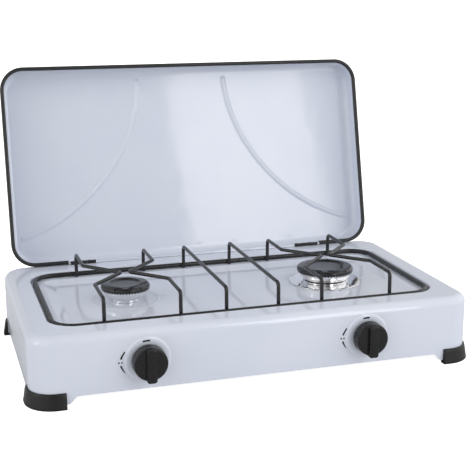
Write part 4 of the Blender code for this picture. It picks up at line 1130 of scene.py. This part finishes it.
def rib_line(side_x):
    """Centre line of a pressed rib on the closed lid: a quarter of a superellipse."""
    power = 2 / RIB_POWER
    share = (RIB_TOP_X + RIB_SPAN_X - RIB_END_X) / RIB_SPAN_X
    last = math.acos(share ** (1 / power))
    steps = 72
    line = []
    for step in range(steps + 1):
        angle = last * step / steps
        x = RIB_TOP_X + RIB_SPAN_X * (1 - math.cos(angle) ** power)
        u = RIB_TOP_U - RIB_SPAN_U * math.sin(angle) ** power
        line.append(Vector((side_x * x, -u, 0)))
    for end, neighbour in ((0, 1), (-1, -2)):
        out = (line[end] - line[neighbour]).normalized()
        reach = RIB_HALF + RIB_MARGIN
        extra = [line[end] + out * reach * step / 5 for step in range(1, 6)]
        line = extra[::-1] + line if end == 0 else line + extra
    return line


def rib_strip(bm, side_x):
    """A strip of the panel that holds one rib. Returns its edge ring of vertices."""
    line = rib_line(side_x)
    width = RIB_HALF + RIB_MARGIN
    marks = [-width] + [RIB_HALF * k / 6 for k in range(-6, 7)] + [width]
    rows = []
    for i, point in enumerate(line):
        ahead = (line[min(i + 1, len(line) - 1)] - line[max(i - 1, 0)]).normalized()
        across = Vector((-ahead.y, ahead.x, 0))
        beyond = 0.0
        if i < 5:
            beyond = width * (5 - i) / 5
        elif i > len(line) - 6:
            beyond = width * (i - len(line) + 6) / 5
        row = []
        for mark in marks:
            drop = RIB_HEIGHT * hump(math.hypot(mark, beyond), RIB_HALF)
            row.append(bm.verts.new(point + across * mark + Vector((0, 0, LID_DEPTH - drop))))
        rows.append(row)
    for here, there in zip(rows, rows[1:]):
        for i in range(len(marks) - 1):
            bm.faces.new((here[i], here[i + 1], there[i + 1], there[i]))
    ring = rows[0][:]
    ring += [row[-1] for row in rows[1:]]
    ring += rows[-1][-2::-1]
    ring += [row[0] for row in reversed(rows[1:-1])]
    return ring


def lid_hems():
    """The narrow hem turned out along the lid's rear rim wherever no edging covers it."""
    near = HINGE_X["right"] - HINGE_WIDTH / 2 - 0.0016
    far = HINGE_X["right"] + HINGE_WIDTH / 2 + 0.0014
    spans = ((-near, near), (far, far + 0.0014), (-far - 0.0014, -far))
    return [box_mesh((low, -0.0006, GAP + 0.0001), (high, 0.0019, 0.0009)) for low, high in spans]


def lid_panel():
    """The pressed lid, drawn closed with its origin on the hinge axis and then opened."""
    bm = bmesh.new()
    edge_v = LID_DEPTH - LID_EDGE_RADIUS
    loops = [lid_loop(0.0, GAP), lid_loop(0.0, edge_v - 0.0010)]
    for step in range(11):
        angle = math.radians(9 * step)
        lean = LID_EDGE_RADIUS * (1 - math.cos(angle))
        loops.append(lid_loop(lean, edge_v + LID_EDGE_RADIUS * math.sin(angle)))
    loops.append(lid_loop(LID_EDGE_RADIUS + 0.0006, LID_DEPTH))
    rows = [[bm.verts.new(point) for point in loop] for loop in loops]
    for low, high in zip(rows, rows[1:]):
        for i in range(len(low)):
            j = (i + 1) % len(low)
            bm.faces.new((low[i], low[j], high[j], high[i]))
    edges = ring_edges(bm, rows[-1])
    for side_x in (-1, 1):
        edges += ring_edges(bm, rib_strip(bm, side_x))
    bmesh.ops.triangle_fill(bm, use_beauty=True, use_dissolve=False, edges=edges, normal=(0, 0, 1))
    bm.normal_update()
    for face in bm.faces:
        if face.normal.z < -0.2:
            face.normal_flip()
    lid = new_object("lid_sheet", finish_mesh(bm, "lid_sheet", recalculate=False))
    thicken(lid, LID_SHEET)
    cutters = []
    for side in SIDES:
        half_x = HINGE_WIDTH / 2 + 0.0012
        notch = box_mesh((-half_x, -0.003, -0.002), (half_x, 0.003, KNUCKLE_RADIUS + 0.0005))
        notch.transform(Matrix.Translation(Vector((HINGE_X[side], 0, 0))))
        cutters.append(notch)
        for shift in (-LID_RIVET_X, LID_RIVET_X):
            cutters.append(hole(0.0015, place(HINGE_X[side] + shift, 0, LID_RIVET_U, TO_REAR)))
    carve(lid, cutters)
    carve(lid, lid_hems(), "UNION")
    lid.data.transform(LID_TURN)
    dress(lid, FINISHES["white_enamel"], "lid", "white_enamel", "lid_panel")


def lid_trim():
    """The black edging clipped over the lid's rim, open between the hinges."""
    rear = -LID_REAR - LID_SHEET / 2
    half_x = LID_HALF_X - LID_SHEET / 2
    corner = LID_CORNER - LID_SHEET / 2
    front = rear - LID_LENGTH + LID_SHEET
    end_x = HINGE_X["right"] + 0.0195
    path = [(Vector((-end_x, rear, 0)), Vector((0, 1, 0)))]
    for x, y, start in (
        (-half_x + corner, rear - corner, 90),
        (-half_x + corner, front + corner, 180),
        (half_x - corner, front + corner, 270),
        (half_x - corner, rear - corner, 0),
    ):
        for step in range(17):
            angle = math.radians(start + 90 * step / 16)
            outward = Vector((math.cos(angle), math.sin(angle), 0))
            path.append((Vector((x, y, 0)) + outward * corner, outward))
    path.append((Vector((end_x, rear, 0)), Vector((0, 1, 0))))
    slot = LID_SHEET / 2 + GAP
    section = [(-TRIM_INSIDE + 0.0003, TRIM_LEG), (-TRIM_INSIDE, TRIM_LEG - 0.0003)]
    middle_o = (TRIM_RADIUS - TRIM_INSIDE) / 2
    half_o = (TRIM_RADIUS + TRIM_INSIDE) / 2
    for step in range(11):
        angle = math.pi + math.pi * step / 10
        section.append((middle_o + half_o * math.cos(angle), TRIM_RADIUS * math.sin(angle)))
    section += [(TRIM_RADIUS, TRIM_LEG - 0.0003), (TRIM_RADIUS - 0.0003, TRIM_LEG), (slot, TRIM_LEG)]
    section += [(slot, 0), (-slot, 0), (-slot, TRIM_LEG)]
    loops = [[point + outward * o + Vector((0, 0, v)) for o, v in section] for point, outward in path]
    trim = new_object("lid_edging", lofted("lid_edging", loops), LID_TURN)
    dress(trim, FINISHES["trim_rubber"], "lid", "trim_rubber", "lid_edge_trim")


def knuckle_mesh(centre_x, shift):
    outer, inner = KNUCKLE_RADIUS, PIN_RADIUS + 0.00025
    half = KNUCKLE_LENGTH / 2
    points = [(inner, -half), (outer, -half), (outer, half), (inner, half)]
    mesh = turned("knuckle", round_profile(points, [0, 0.0002, 0.0002, 0], 2), 28)
    mesh.transform(Matrix.Rotation(math.pi / 2, 4, "Y"))
    mesh.transform(Matrix.Translation(Vector((centre_x + shift, 0, 0))))
    return mesh


def hinges():
    """Rolled hinge knuckles, riveted leaves and pins, drawn about the hinge axis."""
    black = FINISHES["black_enamel"]
    for side in SIDES:
        x = HINGE_X[side]
        leaf_near = -LID_REAR + GAP
        plate = rounded_rectangle(HINGE_WIDTH / 2, 0.0070, 0.0020, 0.0, 0.0110, 5)
        faces = (leaf_near, leaf_near + LEAF)
        slab = lofted("leaf", [[Vector((p.x + x, y, p.y)) for p in plate] for y in faces])
        lid_leaf = new_object(f"lid_hinge_leaf_{side}", slab)
        soften(lid_leaf, 0.0002)
        neck = KNUCKLE_LENGTH / 2 - 0.0002
        strap = box_mesh(
            (x - neck, leaf_near + 0.00005, 0.0017), (x + neck, leaf_near + LEAF - 0.00005, 0.0050)
        )
        carve(lid_leaf, [strap, knuckle_mesh(x, 0.0)], "UNION")
        lid_leaf.data.transform(LID_TURN)
        dress(lid_leaf, black, "lid", "black_enamel", f"hinge_lid_leaf_{side}")

        points = [(0, -HINGE_WIDTH / 2 - 0.0005), (PIN_RADIUS, -HINGE_WIDTH / 2 - 0.0005)]
        points += [(PIN_RADIUS, HINGE_WIDTH / 2 + 0.0005), (0, HINGE_WIDTH / 2 + 0.0005)]
        pin = turned("pin", round_profile(points, [0, 0.0004, 0.0004, 0], 3), 24)
        pin.transform(Matrix.Rotation(math.pi / 2, 4, "Y"))
        pin_piece = new_object(f"hinge_rod_{side}", pin, place(x, HINGE.y, HINGE.z))
        dress(pin_piece, black, "root", "black_enamel", f"hinge_pin_{side}")

        inner_spots, outer_spots = [], []
        for shift in (-LID_RIVET_X, LID_RIVET_X):
            inner_spots.append(LID_TURN @ Vector((x + shift, -LID_REAR - LID_SHEET - GAP, LID_RIVET_U)))
            outer_spots.append(LID_TURN @ Vector((x + shift, leaf_near + LEAF, LID_RIVET_U)))
        facing = (LID_TURN.to_3x3() @ Vector((0, 1, 0))).normalized()
        numbered = [f"hinge_lid_rivet_{side}_{number}" for number in (1, 2)]
        heads = dome_rivets(f"lid_rivets_{side}", inner_spots + outer_spots, 0.0024, 0.0009, facing, black)
        dress(heads, black, "lid", "black_enamel", *numbered)
        rivet = middle(f"hinge_body_rivet_{side}")
        spots = [(rivet.x, MIDDLE_Y + HALF_Y, rivet.z)]
        head = dome_rivets(f"body_rivet_{side}", spots, 0.0024, 0.0009, Vector((0, 1, 0)), black)
        dress(head, black, "root", "black_enamel", f"hinge_body_rivet_{side}")


# ---------------------------------------------------------------- gas inlet
def hose_nipple():
    """Barbed brass nipple at the rear wall."""
    barb, thread = 0.0054, 0.0060
    socket = 0.0053
    points = [(socket, -0.0190), (0.0085, -0.0190), (0.0085, -GAP), (thread, -GAP), (thread, 0.0085)]
    points.append((barb - 0.0012, 0.0100))
    for number in range(3):
        start = 0.0130 + 0.0056 * number
        points += [(barb - 0.0012, start), (barb, start + 0.0006)]
    points += [(barb - 0.0014, 0.0305), (0.0025, 0.0305), (0.0025, -0.0070), (socket, -0.0070)]
    radii = [0, 0.0004, 0.0003, 0, 0.0004, 0.0006] + [0.0003] * 6 + [0.0005, 0.0003, 0, 0]
    where = middle("hose_nipple")
    spot = place(where.x, MIDDLE_Y + HALF_Y - BODY_SHEET, where.z, TO_REAR)
    nipple = new_object("gas_inlet_nipple", turned("nipple", round_profile(points, radii, 3), 48), spot)
    dress(nipple, FINISHES["brass"], "root", "brass", "hose_nipple")


def carried_over():
    """Gas parts that keep their CAD shape get the same finishes."""
    slots = {row["slot"]: row for row in frame["record"]["materials"]}
    for name, node in frame["nodes"].items():
        if node.hide_render:
            continue
        for i, material in enumerate(node.data.materials):
            plain = material.name.split(".")[0]
            if plain in slots:
                node.data.materials[i] = FINISHES[plain]


# ---------------------------------------------------------------- studio
FLOOR_COLOUR = (0.80, 0.80, 0.81)
FLOOR_GLOW = 0.92


def studio_floor():
    """A plain white floor that shows pure white to the camera."""
    bm = bmesh.new()
    bmesh.ops.create_grid(bm, x_segments=2, y_segments=2, size=6.0)
    mesh = bpy.data.meshes.new("floor")
    bm.to_mesh(mesh)
    bm.free()
    floor = new_object("studio_floor", mesh)
    material = bpy.data.materials.new("white_floor")
    material.use_nodes = True
    nodes, links = material.node_tree.nodes, material.node_tree.links
    nodes.clear()
    paper = nodes.new("ShaderNodeBsdfDiffuse")
    paper.inputs["Color"].default_value = (*FLOOR_COLOUR, 1.0)
    glow = nodes.new("ShaderNodeEmission")
    glow.inputs["Strength"].default_value = FLOOR_GLOW
    brightened = nodes.new("ShaderNodeAddShader")
    links.new(paper.outputs[0], brightened.inputs[0])
    links.new(glow.outputs[0], brightened.inputs[1])
    choose = nodes.new("ShaderNodeMixShader")
    links.new(nodes.new("ShaderNodeLightPath").outputs["Is Camera Ray"], choose.inputs["Fac"])
    links.new(paper.outputs[0], choose.inputs[1])
    links.new(brightened.outputs[0], choose.inputs[2])
    links.new(choose.outputs[0], nodes.new("ShaderNodeOutputMaterial").inputs["Surface"])
    mesh.materials.append(material)


def lobe(nodes, links, way, start, end, colour):
    """Light from round one direction of the sky, fading from end to start of its cosine."""
    dot = nodes.new("ShaderNodeVectorMath")
    dot.operation = "DOT_PRODUCT"
    dot.inputs[1].default_value = Vector(way).normalized()
    ranged = nodes.new("ShaderNodeMapRange")
    ranged.interpolation_type = "SMOOTHSTEP"
    ranged.inputs["From Min"].default_value = start
    ranged.inputs["From Max"].default_value = end
    tint = nodes.new("ShaderNodeMix")
    tint.data_type = "RGBA"
    tint.inputs["A"].default_value = (0, 0, 0, 1)
    tint.inputs["B"].default_value = (*colour, 1)
    links.new(dot.outputs["Value"], ranged.inputs["Value"])
    links.new(ranged.outputs["Result"], tint.inputs["Factor"])
    return dot.inputs[0], tint.outputs["Result"]


SKY_BASE = (0.10, 0.10, 0.10)
SKY_LOBES = (
    ((1.0, -0.2, 0.3), 0.30, 0.95, (1.32, 1.32, 1.32)),
    ((-1.0, -0.3, 0.3), 0.30, 0.95, (1.10, 1.10, 1.10)),
    ((0.0, 1.0, 0.3), 0.30, 0.95, (0.42, 0.42, 0.42)),
    ((0.15, -1.0, 0.35), 0.20, 0.95, (0.09, 0.09, 0.09)),
)


def studio_sky():
    """A dim room with a bright wall on either side. The backdrop itself shows plain white."""
    world = bpy.data.worlds.new("studio")
    bpy.context.scene.world = world
    world.use_nodes = True
    nodes, links = world.node_tree.nodes, world.node_tree.links
    nodes.clear()
    direction = nodes.new("ShaderNodeTexCoord").outputs["Generated"]
    total = None
    for way, start, end, colour in SKY_LOBES:
        into, out = lobe(nodes, links, way, start, end, colour)
        links.new(direction, into)
        adding = nodes.new("ShaderNodeMix")
        adding.data_type = "RGBA"
        adding.blend_type = "ADD"
        adding.inputs["Factor"].default_value = 1.0
        if total is None:
            adding.inputs["A"].default_value = (*SKY_BASE, 1)
        else:
            links.new(total, adding.inputs["A"])
        links.new(out, adding.inputs["B"])
        total = adding.outputs["Result"]
    light = nodes.new("ShaderNodeBackground")
    links.new(total, light.inputs["Color"])
    seen = nodes.new("ShaderNodeBackground")
    seen.inputs["Color"].default_value = (1, 1, 1, 1)
    seen.inputs["Strength"].default_value = 1.05
    choose = nodes.new("ShaderNodeMixShader")
    links.new(nodes.new("ShaderNodeLightPath").outputs["Is Camera Ray"], choose.inputs["Fac"])
    links.new(light.outputs[0], choose.inputs[1])
    links.new(seen.outputs[0], choose.inputs[2])
    links.new(choose.outputs[0], nodes.new("ShaderNodeOutputWorld").inputs["Surface"])


def soft_light(name, spot, target, width, height, power):
    data = bpy.data.lights.new(name, "AREA")
    data.shape = "RECTANGLE"
    data.size = width
    data.size_y = height
    data.energy = power
    light = bpy.data.objects.new(name, data)
    bpy.context.scene.collection.objects.link(light)
    light.location = spot
    light.rotation_euler = (Vector(target) - Vector(spot)).to_track_quat("-Z", "Y").to_euler()


def studio_lights():
    heart = (0, 0, 0.08)
    soft_light("front_softbox", (0.68, -1.60, 0.74), heart, 0.45, 1.30, 6.2)
    soft_light("left_softbox", (-1.70, -0.40, 0.60), heart, 0.40, 1.20, 3.0)


CAMERA_SPOT = Vector((-0.3584, -1.20975, 0.44659))
CAMERA_YAW = math.radians(17.22)
CAMERA_PITCH = math.radians(13.65)
CAMERA_ROLL = math.radians(-0.08)


def studio_camera():
    data = bpy.data.cameras.new("camera")
    data.lens = 79.68
    data.sensor_width = 36.0
    data.shift_x = 0.0034
    data.shift_y = -0.0125
    camera = bpy.data.objects.new("camera", data)
    bpy.context.scene.collection.objects.link(camera)
    level = Matrix.Rotation(-CAMERA_YAW, 4, "Z") @ Matrix.Rotation(math.pi / 2 - CAMERA_PITCH, 4, "X")
    camera.matrix_world = Matrix.Translation(CAMERA_SPOT) @ level @ Matrix.Rotation(CAMERA_ROLL, 4, "Z")
    bpy.context.scene.camera = camera
    bpy.context.scene.view_settings.view_transform = "Standard"


def main():
    studio_camera()
    studio_sky()
    studio_lights()
    studio_floor()
    body_shell()
    knob_collars()
    dial_marks()
    feet()
    for side in SIDES:
        burner_bowl(side)
        burner_cap(side)
        knob(side)
        stem_spring(side)
    trim_ring()
    pan_support()
    lid_panel()
    lid_trim()
    hinges()
    hose_nipple()
    carried_over()


main()
